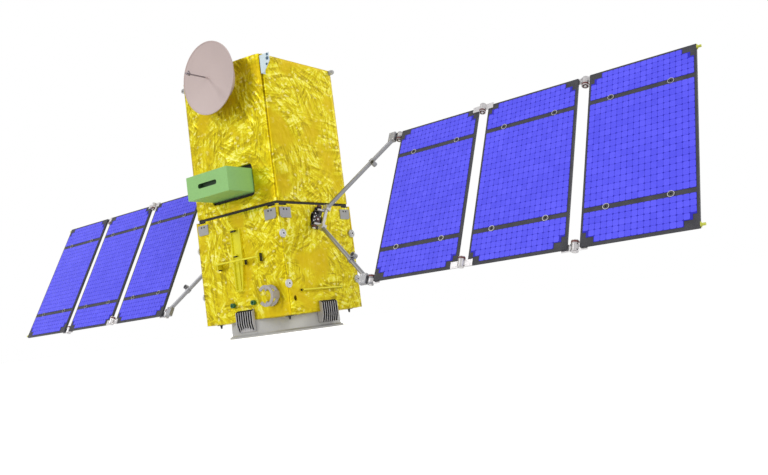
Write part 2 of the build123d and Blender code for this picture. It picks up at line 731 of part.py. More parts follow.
def service_duct():
    wall = -HALF_Y
    bottom = LOWER_BASE + DUCT_BOTTOM_RISE
    knee = LOWER_BASE + DUCT_KNEE_RISE
    top = LOWER_TOP - DUCT_TOP_DROP
    outline = polygon(
        (DUCT_LEFT_X, top),
        (DUCT_LEFT_X, knee),
        (DUCT_LOW_LEFT_X, bottom),
        (DUCT_LOW_RIGHT_X, bottom),
        (DUCT_RIGHT_X, knee),
        (DUCT_RIGHT_X, top),
    )
    duct = slab_along_y(outline, wall - DUCT_PLATE, wall)
    ridge_front = wall - DUCT_RIDGE_DEPTH
    duct += block(DUCT_LEFT_X, DUCT_LEFT_X + DUCT_RIDGE, ridge_front, wall, bottom, top)
    duct += block(DUCT_RIGHT_X - DUCT_RIDGE, DUCT_RIGHT_X, ridge_front, wall, knee, top)
    slanted = polygon(
        (DUCT_RIGHT_X - DUCT_RIDGE, knee),
        (DUCT_LOW_RIGHT_X - DUCT_RIDGE, bottom),
        (DUCT_LOW_RIGHT_X, bottom),
        (DUCT_RIGHT_X, knee),
    )
    duct += slab_along_y(slanted, ridge_front, wall)
    duct += block(DUCT_MIDDLE_X - DUCT_RIDGE, DUCT_MIDDLE_X, ridge_front + DUCT_PLATE, wall, bottom, knee)
    duct += block(DUCT_LOW_LEFT_X, DUCT_LOW_RIGHT_X, ridge_front, wall, bottom, bottom + DUCT_RIDGE)
    duct += shelf(SHELF_X, top + SHELF_HEIGHT, SHELF_WIDTH, SHELF_DEPTH)
    duct += shelf(STEP_X, LOWER_BASE + STEP_RISE, STEP_WIDTH, STEP_DEPTH)
    return duct


def equipment_rails():
    return [front_bar(), service_duct(), side_bar()]


def umbilical_bracket():
    inner = UMBILICAL_RADIUS - UMBILICAL_BAND
    reach = 2 * UMBILICAL_RADIUS
    drop = reach * math.tan(math.radians(UMBILICAL_MOUTH_ANGLE / 2))
    mouth = polygon((0, 0), (-reach, drop), (-reach, -drop))
    band = Circle(UMBILICAL_RADIUS) - Circle(inner) - mouth
    placed = Pos(UMBILICAL_X, UMBILICAL_Z) * band
    wall = -HALF_Y
    near = wall - UMBILICAL_NEAR
    far = wall - UMBILICAL_FAR
    bracket = slab_along_y(placed, near - UMBILICAL_PLATE, near)
    bracket += slab_along_y(placed, far - UMBILICAL_PLATE, far)
    low_x = UMBILICAL_X + inner
    half_z = UMBILICAL_BLOCK_HEIGHT / 2
    seat = block(low_x, low_x + UMBILICAL_BAND, far, wall, UMBILICAL_Z - half_z, UMBILICAL_Z + half_z)
    seat &= rod((UMBILICAL_X, wall, UMBILICAL_Z), (UMBILICAL_X, far, UMBILICAL_Z), UMBILICAL_RADIUS)
    return [bracket + seat]


def service_plugs():
    plugs = []
    z = LOWER_BASE + PLUG_RISE
    tip = -HALF_Y - PLUG_LENGTH
    for share in PLUG_SHARES:
        x = HALF_X * share
        plug = rod((x, -HALF_Y, z), (x, tip, z), PLUG_RADIUS)
        plug -= rod((x, tip + PLUG_SOCKET_DEPTH, z), (x, tip - OVERRUN, z), PLUG_SOCKET_RADIUS)
        plugs.append(plug)
    return plugs


def lifting_gusset():
    """A plate across the front right corner, with a flange on the side wall."""
    top = UPPER_TOP - GUSSET_DROP
    bottom = top - GUSSET_LENGTH
    tip = UPPER_HALF_X + GUSSET_REACH
    front = -UPPER_HALF_Y
    outline = polygon(
        (UPPER_HALF_X, top),
        (tip, top),
        (tip, top - GUSSET_EDGE),
        (UPPER_HALF_X + GUSSET_FOOT, bottom),
        (UPPER_HALF_X, bottom),
    )
    gusset = slab_along_y(outline, front, front + GUSSET_THICKNESS)
    for reach_share, length_share, radius_share in GUSSET_HOLE_SHARES:
        x = UPPER_HALF_X + GUSSET_REACH * reach_share
        z = top - GUSSET_LENGTH * length_share
        start = (x, front - OVERRUN, z)
        end = (x, front + GUSSET_THICKNESS + OVERRUN, z)
        gusset -= rod(start, end, GUSSET_EDGE * radius_share)
    flange_x = UPPER_HALF_X + GUSSET_THICKNESS
    return gusset + block(UPPER_HALF_X, flange_x, front, front + GUSSET_SEAT, bottom, top)


def lifting_lug(side_x, side_y, drop):
    """A tab with a round end and a hole."""
    middle = UPPER_TOP - drop - LUG_HEIGHT / 2
    end = UPPER_HALF_X + LUG_REACH - LUG_HEIGHT / 2
    outline = Pos(side_x * end, middle) * Circle(LUG_HEIGHT / 2)
    bar = Pos(side_x * (UPPER_HALF_X + end) / 2, middle) * Rectangle(end - UPPER_HALF_X, LUG_HEIGHT)
    outline = outline + bar - Pos(side_x * end, middle) * Circle(LUG_HOLE_RADIUS)
    edge = UPPER_HALF_Y - WALL
    y_low, y_high = sorted((side_y * (edge - LUG_THICKNESS), side_y * edge))
    return slab_along_y(outline, y_low, y_high)


def top_lugs():
    lugs = [lifting_gusset()]
    for side_x, side_y, drop in ((1, 1, 0), (-1, -1, LUG_DROP), (-1, 1, LUG_DROP)):
        lugs.append(lifting_lug(side_x, side_y, drop))
    return lugs


# Under the deck
def thruster(x, y, share):
    flange_z = LOWER_BASE - THRUSTER_FLANGE * share
    neck_z = flange_z - THRUSTER_BODY * share
    mouth_z = neck_z - THRUSTER_NOZZLE * share
    neck_radius = THRUSTER_NECK_RADIUS * share
    body = rod((x, y, LOWER_BASE), (x, y, flange_z), THRUSTER_FLANGE_RADIUS * share)
    body += taper((x, y, flange_z), (x, y, neck_z), THRUSTER_BODY_RADIUS * share, neck_radius)
    body += taper((x, y, neck_z), (x, y, mouth_z), neck_radius, THRUSTER_MOUTH_RADIUS * share)
    throat = (THRUSTER_NECK_RADIUS - THRUSTER_WALL) * share
    mouth = (THRUSTER_MOUTH_RADIUS - THRUSTER_WALL) * share
    body -= taper((x, y, neck_z), (x, y, mouth_z), throat, mouth)
    return body


def orbit_thrusters():
    places = [(RING_WALL_RADIUS * a, RING_WALL_RADIUS * b) for a, b in ORBIT_THRUSTER_SHARES]
    return [thruster(x, y, 1) for x, y in places]


def attitude_thrusters():
    places = [(RING_WALL_RADIUS * a, RING_WALL_RADIUS * b) for a, b in ATTITUDE_THRUSTER_SHARES]
    return [thruster(x, y, ATTITUDE_SCALE_SHARE) for x, y in places]


def deck_feet():
    """A square plate with a stub under each corner of the deck."""
    feet = []
    half = FOOT_SIDE / 2
    plate_z = LOWER_BASE - FOOT_PLATE
    for side_x, side_y in QUARTERS:
        x = side_x * (HALF_X - FOOT_EDGE)
        y = side_y * (HALF_Y - FOOT_EDGE)
        foot = block(x - half, x + half, y - half, y + half, plate_z, LOWER_BASE)
        foot += taper((x, y, plate_z), (x, y, plate_z - FOOT_STUB), FOOT_STUB_RADIUS, FOOT_TIP_RADIUS)
        feet.append(foot)
    return feet


# Drive
def drive_housings():
    housings = []
    radius = DRIVE_PORT_RADIUS - DRIVE_PORT_MARGIN
    bore = DRIVE_SHAFT_RADIUS + PIN_GAP
    for side in (1, -1):
        housing = drive_cylinder(side, radius, DRIVE_POCKET_FLOOR, DRIVE_HOUSING_FACE)
        housing -= drive_cylinder(side, bore, DRIVE_POCKET_FLOOR, DRIVE_HOUSING_FACE + OVERRUN)
        housings.append(housing)
    return housings


# Wing pieces are made in the wing's own frame: x along the wing, v up along a panel, n out of its cell side.
def pin_disc(x, n, v_low, v_high, radius):
    return rod((x, v_low, n), (x, v_high, n), radius)


def drive_hub():
    hub = rod((DRIVE_SHAFT_END, 0, 0), (DRIVE_DISC_BACK, 0, 0), DRIVE_SHAFT_RADIUS)
    hub += rod((DRIVE_DISC_BACK, 0, 0), (DRIVE_DISC_FRONT, 0, 0), DRIVE_DISC_RADIUS)
    hub += rod((DRIVE_DISC_FRONT, 0, 0), (CROSSBAR_BACK, 0, 0), DRIVE_NECK_RADIUS)
    ear_start = ROOT_TONGUE_CENTRE + ROOT_TONGUE_HALF + SIDE_GAP
    ear_end = ear_start + ROOT_EAR
    hub += block(CROSSBAR_BACK, CROSSBAR_FRONT, -ear_end, ear_end, -CROSSBAR_HIGH_N / 2, CROSSBAR_HIGH_N)
    radius = ROOT_KNUCKLE_RADIUS
    web = polygon(
        (CROSSBAR_FRONT, CROSSBAR_LOW_N),
        (ROOT_PIN_X + radius / 2, ROOT_PIN_N - radius / 2),
        (ROOT_PIN_X + radius / 2, ROOT_PIN_N + radius / 2),
        (CROSSBAR_FRONT, CROSSBAR_HIGH_N),
    )
    inner_start = ROOT_TONGUE_CENTRE - ROOT_TONGUE_HALF - SIDE_GAP - ROOT_EAR
    for side in (1, -1):
        for v_near in (inner_start, ear_start):
            v_low, v_high = sorted((side * v_near, side * (v_near + ROOT_EAR)))
            hub += slab_along_y(web, v_low, v_high)
            hub += pin_disc(ROOT_PIN_X, ROOT_PIN_N, v_low, v_high, radius)
        hub += pin_disc(ROOT_PIN_X, ROOT_PIN_N, side * inner_start, side * ear_end, ROOT_PIN_RADIUS)
        drum_end = ear_end + ROOT_DRUM_LENGTH
        hub += pin_disc(ROOT_PIN_X, ROOT_PIN_N, side * ear_end, side * drum_end, ROOT_DRUM_RADIUS)
    return [hub]


def root_block(side):
    half_v = YOKE_BLOCK_WIDTH / 2
    half_x = YOKE_BLOCK_LENGTH / 2
    v = side * YOKE_ROOT_V
    return block(
        YOKE_ROOT_X - half_x,
        YOKE_ROOT_X + half_x,
        v - half_v,
        v + half_v,
        -YOKE_BLOCK_HALF_HEIGHT,
        YOKE_BLOCK_HALF_HEIGHT,
    )


def yoke_base():
    reach = YOKE_ROOT_V
    base = rod((YOKE_ROOT_X, -reach, 0), (YOKE_ROOT_X, reach, 0), YOKE_BAR_RADIUS)
    radius = ROOT_KNUCKLE_RADIUS
    lug = polygon(
        (ROOT_PIN_X + radius / 2, ROOT_PIN_N + radius * ROOT_LUG_SHARE),
        (YOKE_ROOT_X - YOKE_BAR_RADIUS, YOKE_BAR_RADIUS),
        (YOKE_ROOT_X, 0),
        (YOKE_ROOT_X - YOKE_BAR_RADIUS / 2, -YOKE_BAR_RADIUS * ROOT_LUG_SHARE),
        (ROOT_PIN_X - radius / 2, ROOT_PIN_N - radius * ROOT_LUG_SHARE),
    )
    for side in (1, -1):
        base += root_block(side)
        centre = side * ROOT_TONGUE_CENTRE
        v_low = centre - ROOT_TONGUE_HALF
        v_high = centre + ROOT_TONGUE_HALF
        base += slab_along_y(lug, v_low, v_high)
        base += pin_disc(ROOT_PIN_X, ROOT_PIN_N, v_low, v_high, radius)
        bore = ROOT_PIN_RADIUS + PIN_GAP
        base -= pin_disc(ROOT_PIN_X, ROOT_PIN_N, v_low - OVERRUN, v_high + OVERRUN, bore)
    return [base]


def leaf_web(x_pin, side, towards):
    """The part of an ear or tongue between its leaf plate and the pin; towards is 1 outboard, -1 inboard."""
    root = LEAF_NEAR + OVERRUN
    tip_x, tip_n = (HINGE_RADIUS * share for share in WEB_TIP_SHARES)
    heel_x, heel_n = (HINGE_RADIUS * share for share in WEB_HEEL_SHARES)
    return polygon(
        (x_pin + towards * root, side * SUBSTRATE_FRONT),
        (x_pin + towards * root, side * LEAF_FACE),
        (x_pin + towards * tip_x, side * (HINGE_OFFSET + tip_n)),
        (x_pin, side * HINGE_OFFSET),
        (x_pin + towards * heel_x, side * (HINGE_OFFSET - heel_n)),
    )


def leaf_plate(x_pin, side, towards, centre):
    near = x_pin + towards * LEAF_NEAR
    far = x_pin + towards * (PANEL_GAP / 2 + LEAF_SEAT)
    x_low, x_high = sorted((near, far))
    face = SUBSTRATE_FRONT if side > 0 else SUBSTRATE_BACK
    n_low, n_high = sorted((face, side * LEAF_FACE))
    return block(x_low, x_high, centre - HINGE_HALF_LENGTH, centre + HINGE_HALF_LENGTH, n_low, n_high)


def hinge_tongue(x_pin, side, centre):
    """The outboard half of a hinge: one tongue with the bore."""
    v_low = centre - TONGUE_HALF_LENGTH
    v_high = centre + TONGUE_HALF_LENGTH
    n = side * HINGE_OFFSET
    tongue = slab_along_y(leaf_web(x_pin, side, 1), v_low, v_high)
    tongue += pin_disc(x_pin, n, v_low, v_high, HINGE_RADIUS)
    tongue += leaf_plate(x_pin, side, 1, centre)
    return tongue - pin_disc(x_pin, n, v_low - OVERRUN, v_high + OVERRUN, HINGE_PIN_RADIUS + PIN_GAP)


def hinge_ears(x_pin, side, centre):
    """The inboard half of a hinge without its plate: two ears, the pin and the spring drum."""
    n = side * HINGE_OFFSET
    inward = -1 if centre > 0 else 1
    ears = pin_disc(x_pin, n, centre - HINGE_HALF_LENGTH, centre + HINGE_HALF_LENGTH, HINGE_PIN_RADIUS)
    for step in (-1, 1):
        near = centre + step * (TONGUE_HALF_LENGTH + SIDE_GAP)
        far = centre + step * HINGE_HALF_LENGTH
        v_low, v_high = sorted((near, far))
        ears += slab_along_y(leaf_web(x_pin, side, -1), v_low, v_high)
        ears += pin_disc(x_pin, n, v_low, v_high, HINGE_RADIUS)
    drum_start = centre + inward * HINGE_HALF_LENGTH
    drum_end = drum_start + inward * DRUM_HINGE_LENGTH
    ears += pin_disc(x_pin, n, drum_start, drum_end, DRUM_HINGE_RADIUS)
    groove_start = drum_end - inward * DRUM_GROOVE_DEPTH
    groove_end = drum_end + inward * OVERRUN
    groove = pin_disc(x_pin, n, groove_start, groove_end, DRUM_GROOVE_OUTER)
    groove -= pin_disc(x_pin, n, groove_start, groove_end, DRUM_GROOVE_INNER)
    return ears - groove


def yoke_arm(side):
    start = (YOKE_ROOT_X, side * YOKE_ROOT_V, 0)
    end = (YOKE_END_X, side * YOKE_END_V, 0)
    arm = rod(start, end, YOKE_TUBE_RADIUS) - root_block(side)
    x_pin = HINGE_XS[0]
    centre = side * HINGE_CENTRE
    head_end = x_pin - LEAF_NEAR
    inner_v = YOKE_END_V - YOKE_TUBE_RADIUS
    v_low, v_high = sorted((side * inner_v, side * (HINGE_CENTRE + HINGE_HALF_LENGTH)))
    arm += block(head_end - YOKE_HEAD_LENGTH, head_end, v_low, v_high, -LEAF_FACE, YOKE_TUBE_RADIUS)
    arm += hinge_ears(x_pin, HINGE_SIDES[0], centre)
    run_x = YOKE_END_X - YOKE_ROOT_X
    run_v = YOKE_END_V - YOKE_ROOT_V
    run = math.hypot(run_x, run_v)
    along = Vector(run_x / run, side * run_v / run, 0)
    bushing = Vector(YOKE_BUSHING_X, side * HOLD_DOWN_SPREAD, 0)
    foot = Vector(*start) + along * (bushing - Vector(*start)).dot(along)
    half_collar = along * (YOKE_COLLAR_LENGTH / 2)
    arm += rod(tuple(foot - half_collar), tuple(foot + half_collar), YOKE_COLLAR_RADIUS)
    arm += rod(tuple(foot), tuple(bushing), YOKE_OUTRIGGER_RADIUS)
    back = Vector(0, 0, -BUSHING_FACE)
    front = Vector(0, 0, YOKE_BUSHING_FACE)
    past = Vector(0, 0, OVERRUN)
    arm += rod(tuple(bushing + back), tuple(bushing + front), BUSHING_FLANGE_RADIUS)
    arm -= rod(tuple(bushing + back - past), tuple(bushing + front + past), BUSHING_BORE_RADIUS)
    return [arm]


def bushing_places(index):
    inner_edge = PANEL_INNER_EDGE + PANEL_PITCH * index
    spreads = (HOLD_DOWN_SPREAD, -HOLD_DOWN_SPREAD)
    return [(inner_edge + offset, v) for offset in BUSHING_OFFSETS for v in spreads]


def panel_substrate(index):
    inner_edge = PANEL_INNER_EDGE + PANEL_PITCH * index
    outer_edge = inner_edge + PANEL_WIDTH
    half = PANEL_HALF_HEIGHT
    panel = block(inner_edge, outer_edge, -half, half, SUBSTRATE_BACK, SUBSTRATE_FRONT)
    for x, v in bushing_places(index):
        hole = BUSHING_RADIUS + SEAT_GAP
        panel -= rod((x, v, SUBSTRATE_BACK - OVERRUN), (x, v, SUBSTRATE_FRONT + OVERRUN), hole)
    return [panel]


def corner_steps(x_edge, inward, side):
    """The stepped notch that leaves the hinge's leaf plate free; inward points into the panel along x."""
    edge_v = side * PANEL_HALF_HEIGHT
    notches = []
    for length, height in ((NOTCH_LENGTH, NOTCH_HEIGHT), (NOTCH_STEP_LENGTH, NOTCH_STEP_HEIGHT)):
        x_low, x_high = sorted((x_edge - inward * OVERRUN, x_edge + inward * length))
        v_low, v_high = sorted((edge_v + side * OVERRUN, edge_v - side * height))
        notches.append(block(x_low, x_high, v_low, v_high, SUBSTRATE_FRONT - OVERRUN, CELL_FRONT + OVERRUN))
    return notches


def panel_cells(index):
    inner_edge = PANEL_INNER_EDGE + PANEL_PITCH * index
    outer_edge = inner_edge + PANEL_WIDTH
    x_low = inner_edge + CELL_MARGIN
    x_high = outer_edge - CELL_MARGIN
    top = PANEL_HALF_HEIGHT - CELL_MARGIN
    strip_low = HOLD_DOWN_SPREAD - STRIP_HALF_WIDTH
    strip_high = HOLD_DOWN_SPREAD + STRIP_HALF_WIDTH
    fields = [block(x_low, x_high, -strip_low, strip_low, SUBSTRATE_FRONT, CELL_FRONT)]
    for side in (1, -1):
        v_low, v_high = sorted((side * strip_high, side * top))
        field = block(x_low, x_high, v_low, v_high, SUBSTRATE_FRONT, CELL_FRONT)
        for x_edge, inward in ((inner_edge, 1), (outer_edge, -1)):
            for notch in corner_steps(x_edge, inward, side):
                field -= notch
        fields.append(field)
    cleared = []
    for field in fields:
        for x, v in bushing_places(index):
            low = (x, v, SUBSTRATE_FRONT - OVERRUN)
            high = (x, v, CELL_FRONT + OVERRUN)
            field -= rod(low, high, BUSHING_CLEAR_RADIUS)
        cleared.append(field)
    return cleared


def bushing(x, v):
    body = rod((x, v, -BUSHING_FACE), (x, v, BUSHING_FACE), BUSHING_RADIUS)
    body += rod((x, v, -BUSHING_FACE), (x, v, SUBSTRATE_BACK), BUSHING_FLANGE_RADIUS)
    body += rod((x, v, SUBSTRATE_FRONT), (x, v, BUSHING_FACE), BUSHING_FLANGE_RADIUS)
    return body - rod((x, v, -BUSHING_FACE - OVERRUN), (x, v, BUSHING_FACE + OVERRUN), BUSHING_BORE_RADIUS)


def panel_fittings(index):
    pieces = [bushing(x, v) for x, v in bushing_places(index)]
    for side in (1, -1):
        centre = side * HINGE_CENTRE
        pieces.append(hinge_tongue(HINGE_XS[index], HINGE_SIDES[index], centre))
        if index + 1 < PANEL_COUNT:
            outboard = index + 1
            plate = leaf_plate(HINGE_XS[outboard], HINGE_SIDES[outboard], -1, centre)
            pieces.append(plate + hinge_ears(HINGE_XS[outboard], HINGE_SIDES[outboard], centre))
    return pieces


def tip_sensors():
    tip = PANEL_INNER_EDGE + PANEL_PITCH * (PANEL_COUNT - 1) + PANEL_WIDTH
    half = TIP_BRACKET / 2
    pieces = []
    for side in (1, -1):
        v = side * TIP_SENSOR_V
        piece = block(tip, tip + half, v - TIP_BRACKET, v + TIP_BRACKET, SUBSTRATE_BACK, SUBSTRATE_FRONT)
        start = (tip + half / 2, v, SUBSTRATE_MIDDLE)
        end = (tip + TIP_SENSOR_LENGTH, v, SUBSTRATE_MIDDLE)
        piece += rod(start, end, TIP_SENSOR_RADIUS)
        pieces.append(piece)
    return pieces


def save_wing(name, pieces):
    placed = [piece.moved(WING_PLANE.location) for piece in pieces]
    save(f"{RIGHT}_{name}", placed)
    save(f"{LEFT}_{name}", [mirror(piece, about=Plane.YZ) for piece in placed])


def build_wings():
    save_wing("drive_hub", drive_hub())
    save_wing("yoke_base", yoke_base())
    save_wing("yoke_upper_arm", yoke_arm(1))
    save_wing("yoke_lower_arm", yoke_arm(-1))
    for index in range(PANEL_COUNT):
        number = index + 1
        save_wing(f"panel_{number}", panel_substrate(index))
        save_wing(f"panel_{number}_cells", panel_cells(index))
        save_wing(f"panel_{number}_fittings", panel_fittings(index))
    save_wing("tip_sensors", tip_sensors())


def build_bus():
    save("adapter_ring", adapter_ring())
    save("ring_brackets", ring_brackets())
    save("lower_structure", lower_structure())
    save("lower_front_panel", [lower_front_wall()])
    save("lower_rear_panel", [Rot(0, 0, 180) * lower_end_wall()])
    save("lower_right_panel", [lower_right_wall()])
    save("lower_left_panel", [mirror(lower_side_wall(), about=Plane.YZ)])
    save("lower_deck", lower_deck())
    save("separation_frame", separation_frame())
    save("corner_plates", corner_plates())
    save("upper_structure", upper_structure())
    save("upper_front_panel", [upper_front_wall()])
    save("upper_rear_panel", [upper_rear_wall()])
    save("upper_right_panel", [upper_side_wall()])
    save("upper_left_panel", [mirror(upper_side_wall(), about=Plane.YZ)])
    save("top_panel", top_panel())
    save("camera_housing", camera_housing())
    save("antenna_dish", antenna_dish())
    save("antenna_drum", antenna_drum())
    save("antenna_feed", antenna_feed())
    save("holddown_pads", holddown_pads())
    save("equipment_rails", equipment_rails())
    save("umbilical_bracket", umbilical_bracket())
    save("service_plugs", service_plugs())
    save("top_lugs", top_lugs())
    save("orbit_thrusters", orbit_thrusters())
    save("attitude_thrusters", attitude_thrusters())
    save("deck_feet", deck_feet())
    save("drive_housings", drive_housings())


os.makedirs("parts", exist_ok=True)
build_bus()
build_wings()
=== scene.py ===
"""Finish of a satellite: crinkled foil blankets, solar cells, hinge details and plain soft studio light."""

import json
import math

import bmesh
import bpy
import numpy as np
from mathutils import Matrix, Vector

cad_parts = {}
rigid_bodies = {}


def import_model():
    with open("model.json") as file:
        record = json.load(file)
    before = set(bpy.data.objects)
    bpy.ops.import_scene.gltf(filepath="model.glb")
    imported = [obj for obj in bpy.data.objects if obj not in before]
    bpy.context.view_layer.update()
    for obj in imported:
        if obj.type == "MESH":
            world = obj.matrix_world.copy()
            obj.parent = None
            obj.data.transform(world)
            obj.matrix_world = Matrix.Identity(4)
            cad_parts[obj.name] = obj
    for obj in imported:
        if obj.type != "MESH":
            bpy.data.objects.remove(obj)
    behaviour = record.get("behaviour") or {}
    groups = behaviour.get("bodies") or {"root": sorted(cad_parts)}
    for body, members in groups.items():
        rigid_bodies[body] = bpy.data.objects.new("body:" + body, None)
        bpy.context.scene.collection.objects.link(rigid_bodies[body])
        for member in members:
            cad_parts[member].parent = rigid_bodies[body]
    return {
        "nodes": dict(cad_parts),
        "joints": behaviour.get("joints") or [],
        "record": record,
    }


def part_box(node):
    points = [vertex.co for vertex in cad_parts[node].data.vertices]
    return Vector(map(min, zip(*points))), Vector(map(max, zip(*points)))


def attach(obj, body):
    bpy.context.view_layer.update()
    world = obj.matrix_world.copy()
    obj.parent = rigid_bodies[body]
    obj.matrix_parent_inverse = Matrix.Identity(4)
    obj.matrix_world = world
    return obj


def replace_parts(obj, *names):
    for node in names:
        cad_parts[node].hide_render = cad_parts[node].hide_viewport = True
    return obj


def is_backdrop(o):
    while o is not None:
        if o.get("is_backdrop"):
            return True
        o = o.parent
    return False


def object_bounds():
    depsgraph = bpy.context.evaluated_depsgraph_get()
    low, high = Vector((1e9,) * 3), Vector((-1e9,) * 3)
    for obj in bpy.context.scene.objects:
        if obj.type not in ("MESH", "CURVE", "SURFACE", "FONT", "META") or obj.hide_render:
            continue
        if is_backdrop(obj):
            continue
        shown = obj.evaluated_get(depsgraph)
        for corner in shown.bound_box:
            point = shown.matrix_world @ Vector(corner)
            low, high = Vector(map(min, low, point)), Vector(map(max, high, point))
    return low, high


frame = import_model()
cad_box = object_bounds()

# The frame's own places: the wings' axis, the directions up and out of a panel, and the bus's half sizes
NODES = frame["nodes"]
JOINTS = {joint["name"]: joint for joint in frame["joints"]}
SIDES = {"right": 1, "left": -1}
PANELS = (1, 2, 3)
AXIS_Z = JOINTS["right_drive_turn"]["pos_m"][2]
UP = Vector(JOINTS["right_panel_1_fold"]["axis"]).normalized()
OUT = Vector((1, 0, 0)).cross(UP)
FORWARD = (0, -1, 0)

HALF_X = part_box("lower_right_panel")[1].x
HALF_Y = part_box("lower_rear_panel")[1].y
CAMERA_BOX_LOW, CAMERA_BOX_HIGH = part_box("camera_housing")

# The wings' own frame: x along the wing, y up its panels and z out of its cells
WING_FRAME = Matrix(((1, 0, 0, 0), (0, UP.y, OUT.y, 0), (0, UP.z, OUT.z, AXIS_Z), (0, 0, 0, 1)))


def wing_point(x, v, n):
    """A place on a wing: x along it, v up along its panels, n out of its cell side."""
    return Vector((x, v * UP.y + n * OUT.y, AXIS_Z + v * UP.z + n * OUT.z))


# Materials
def grey(level):
    return (level, level, level, 1)


def shade(colour, factor):
    """A colour made darker or lighter."""
    return tuple(min(1.0, part * factor) for part in colour) + (1,)


class Finish:
    """A node material: inputs that never change sit on the shader's own sockets."""

    def __init__(self, name, roughness, metallic, **sockets):
        self.material = bpy.data.materials.new(name)
        self.material.use_nodes = True
        self.tree = self.material.node_tree
        self.shader = self.tree.nodes["Principled BSDF"]
        self.shader.inputs["Roughness"].default_value = roughness
        self.shader.inputs["Metallic"].default_value = metallic
        for key, value in sockets.items():
            self.shader.inputs[key.replace("_", " ")].default_value = value
        self.place = self.add("ShaderNodeTexCoord").outputs["Object"]

    def add(self, kind, **settings):
        node = self.tree.nodes.new(kind)
        for key, value in settings.items():
            setattr(node, key, value)
        return node

    def feed(self, socket, value):
        if isinstance(value, bpy.types.NodeSocket):
            self.tree.links.new(value, socket)
        else:
            socket.default_value = value

    def attribute(self, name, output):
        return self.add("ShaderNodeAttribute", attribute_name=name).outputs[output]

    def maths(self, operation, a, b=0.0):
        node = self.add("ShaderNodeMath", operation=operation)
        self.feed(node.inputs[0], a)
        self.feed(node.inputs[1], b)
        return node.outputs[0]

    def below(self, value, limit):
        """1 where a value's size is below a limit, otherwise 0."""
        return self.maths("LESS_THAN", self.maths("ABSOLUTE", value), limit)

    def scaled(self, size, source=None):
        node = self.add("ShaderNodeMapping")
        self.feed(node.inputs["Vector"], source or self.place)
        node.inputs["Scale"].default_value = size
        return node.outputs[0]

    def axes(self):
        node = self.add("ShaderNodeSeparateXYZ")
        self.feed(node.inputs[0], self.place)
        return node.outputs

    def channel(self, colour, index=0):
        """One of a colour's channels, as a number."""
        node = self.add("ShaderNodeSeparateColor")
        self.feed(node.inputs[0], colour)
        return node.outputs[index]

    def noise(self, scale, detail, distortion=0.0, source=None):
        node = self.add("ShaderNodeTexNoise")
        self.feed(node.inputs["Vector"], source or self.place)
        node.inputs["Scale"].default_value = scale
        node.inputs["Detail"].default_value = detail
        node.inputs["Distortion"].default_value = distortion
        return node.outputs["Fac"]

    def cells(self, scale, source=None, feature="F1"):
        """A texture of irregular cells, as its node."""
        node = self.add("ShaderNodeTexVoronoi", feature=feature)
        self.feed(node.inputs["Vector"], source or self.place)
        node.inputs["Scale"].default_value = scale
        return node

    def ramp(self, factor, *stops):
        node = self.add("ShaderNodeValToRGB")
        self.feed(node.inputs["Fac"], factor)
        elements = node.color_ramp.elements
        while len(elements) < len(stops):
            elements.new(0.5)
        for element, (position, colour) in zip(elements, stops):
            element.position = position
            element.color = colour if len(colour) == 4 else (*colour, 1)
        return node.outputs["Color"]

    def mottled(self, factor, colour, spread):
        """A colour that wanders from a darker to a lighter tone."""
        return self.ramp(factor, (0.3, shade(colour, 1 - spread)), (0.7, shade(colour, 1 + spread)))

    def blend(self, factor, a, b, kind="MIX"):
        node = self.add("ShaderNodeMix", data_type="RGBA", blend_type=kind)
        self.feed(node.inputs["Factor"], factor)
        self.feed(node.inputs["A"], a)
        self.feed(node.inputs["B"], b)
        return node.outputs["Result"]

    def times(self, a, b):
        """Two colours multiplied."""
        return self.blend(1.0, a, b, "MULTIPLY")

    def span(self, value, low, high):
        node = self.add("ShaderNodeMapRange")
        self.feed(node.inputs["Value"], value)
        node.inputs["To Min"].default_value = low
        node.inputs["To Max"].default_value = high
        return node.outputs["Result"]

    def colour(self, value):
        self.feed(self.shader.inputs["Base Color"], value)

    def rough(self, value, low, high):
        self.feed(self.shader.inputs["Roughness"], self.span(value, low, high))

    def bump(self, height, distance, strength=1.0, under=None):
        node = self.add("ShaderNodeBump")
        node.inputs["Distance"].default_value = distance
        node.inputs["Strength"].default_value = strength
        self.feed(node.inputs["Height"], height)
        if under is not None:
            self.feed(node.inputs["Normal"], under)
        self.feed(self.shader.inputs["Normal"], node.outputs[0])
        return node.outputs[0]


# Paint: share and tones of the dust, how far the gloss wanders, and the skin's bumps
DUST_SHARE = 0.25
DUST_TONES = (0.8, 1.15)
PAINT_GLOSS = (-0.07, 0.09)
PAINT_BUMP = 0.0004
# Painted shade: the colour a mask gives unless another is named
PAINTED_SHADE = (0.008, 0.008, 0.010, 1)


def painted(
    name, colour, roughness, grain=60.0, spread=0.08, metallic=0.0, where=None, other=PAINTED_SHADE, **sockets
):
    """Paint or anodising with soft mottling, a fine skin and uneven gloss, and by a mask another colour:
    painted shade in hollows, a paler tone on the gusset.
    """
    finish = Finish(name, roughness, metallic, **sockets)
    cloud = finish.noise(grain / 10, 4.0)
    speckle = finish.noise(grain * 4, 2.0)
    tone = finish.mottled(cloud, colour, spread)
    dust = finish.ramp(speckle, (0.35, shade(colour, DUST_TONES[0])), (0.65, shade(colour, DUST_TONES[1])))
    paint = finish.blend(DUST_SHARE, tone, dust)
    finish.colour(finish.blend(where(finish), paint, other) if where else paint)
    finish.rough(cloud, roughness + PAINT_GLOSS[0], roughness + PAINT_GLOSS[1])
    finish.bump(speckle, PAINT_BUMP)
    return finish.material


# Bare metal: spread of the drawn lines, tone of the duller patches, how far the gloss wanders, bumps
METALLIC = 0.85
LINE_SPREAD = 0.14
DULL_TONE = 0.82
METAL_GLOSS = (-0.08, 0.14)
LINE_BUMP = 0.0003


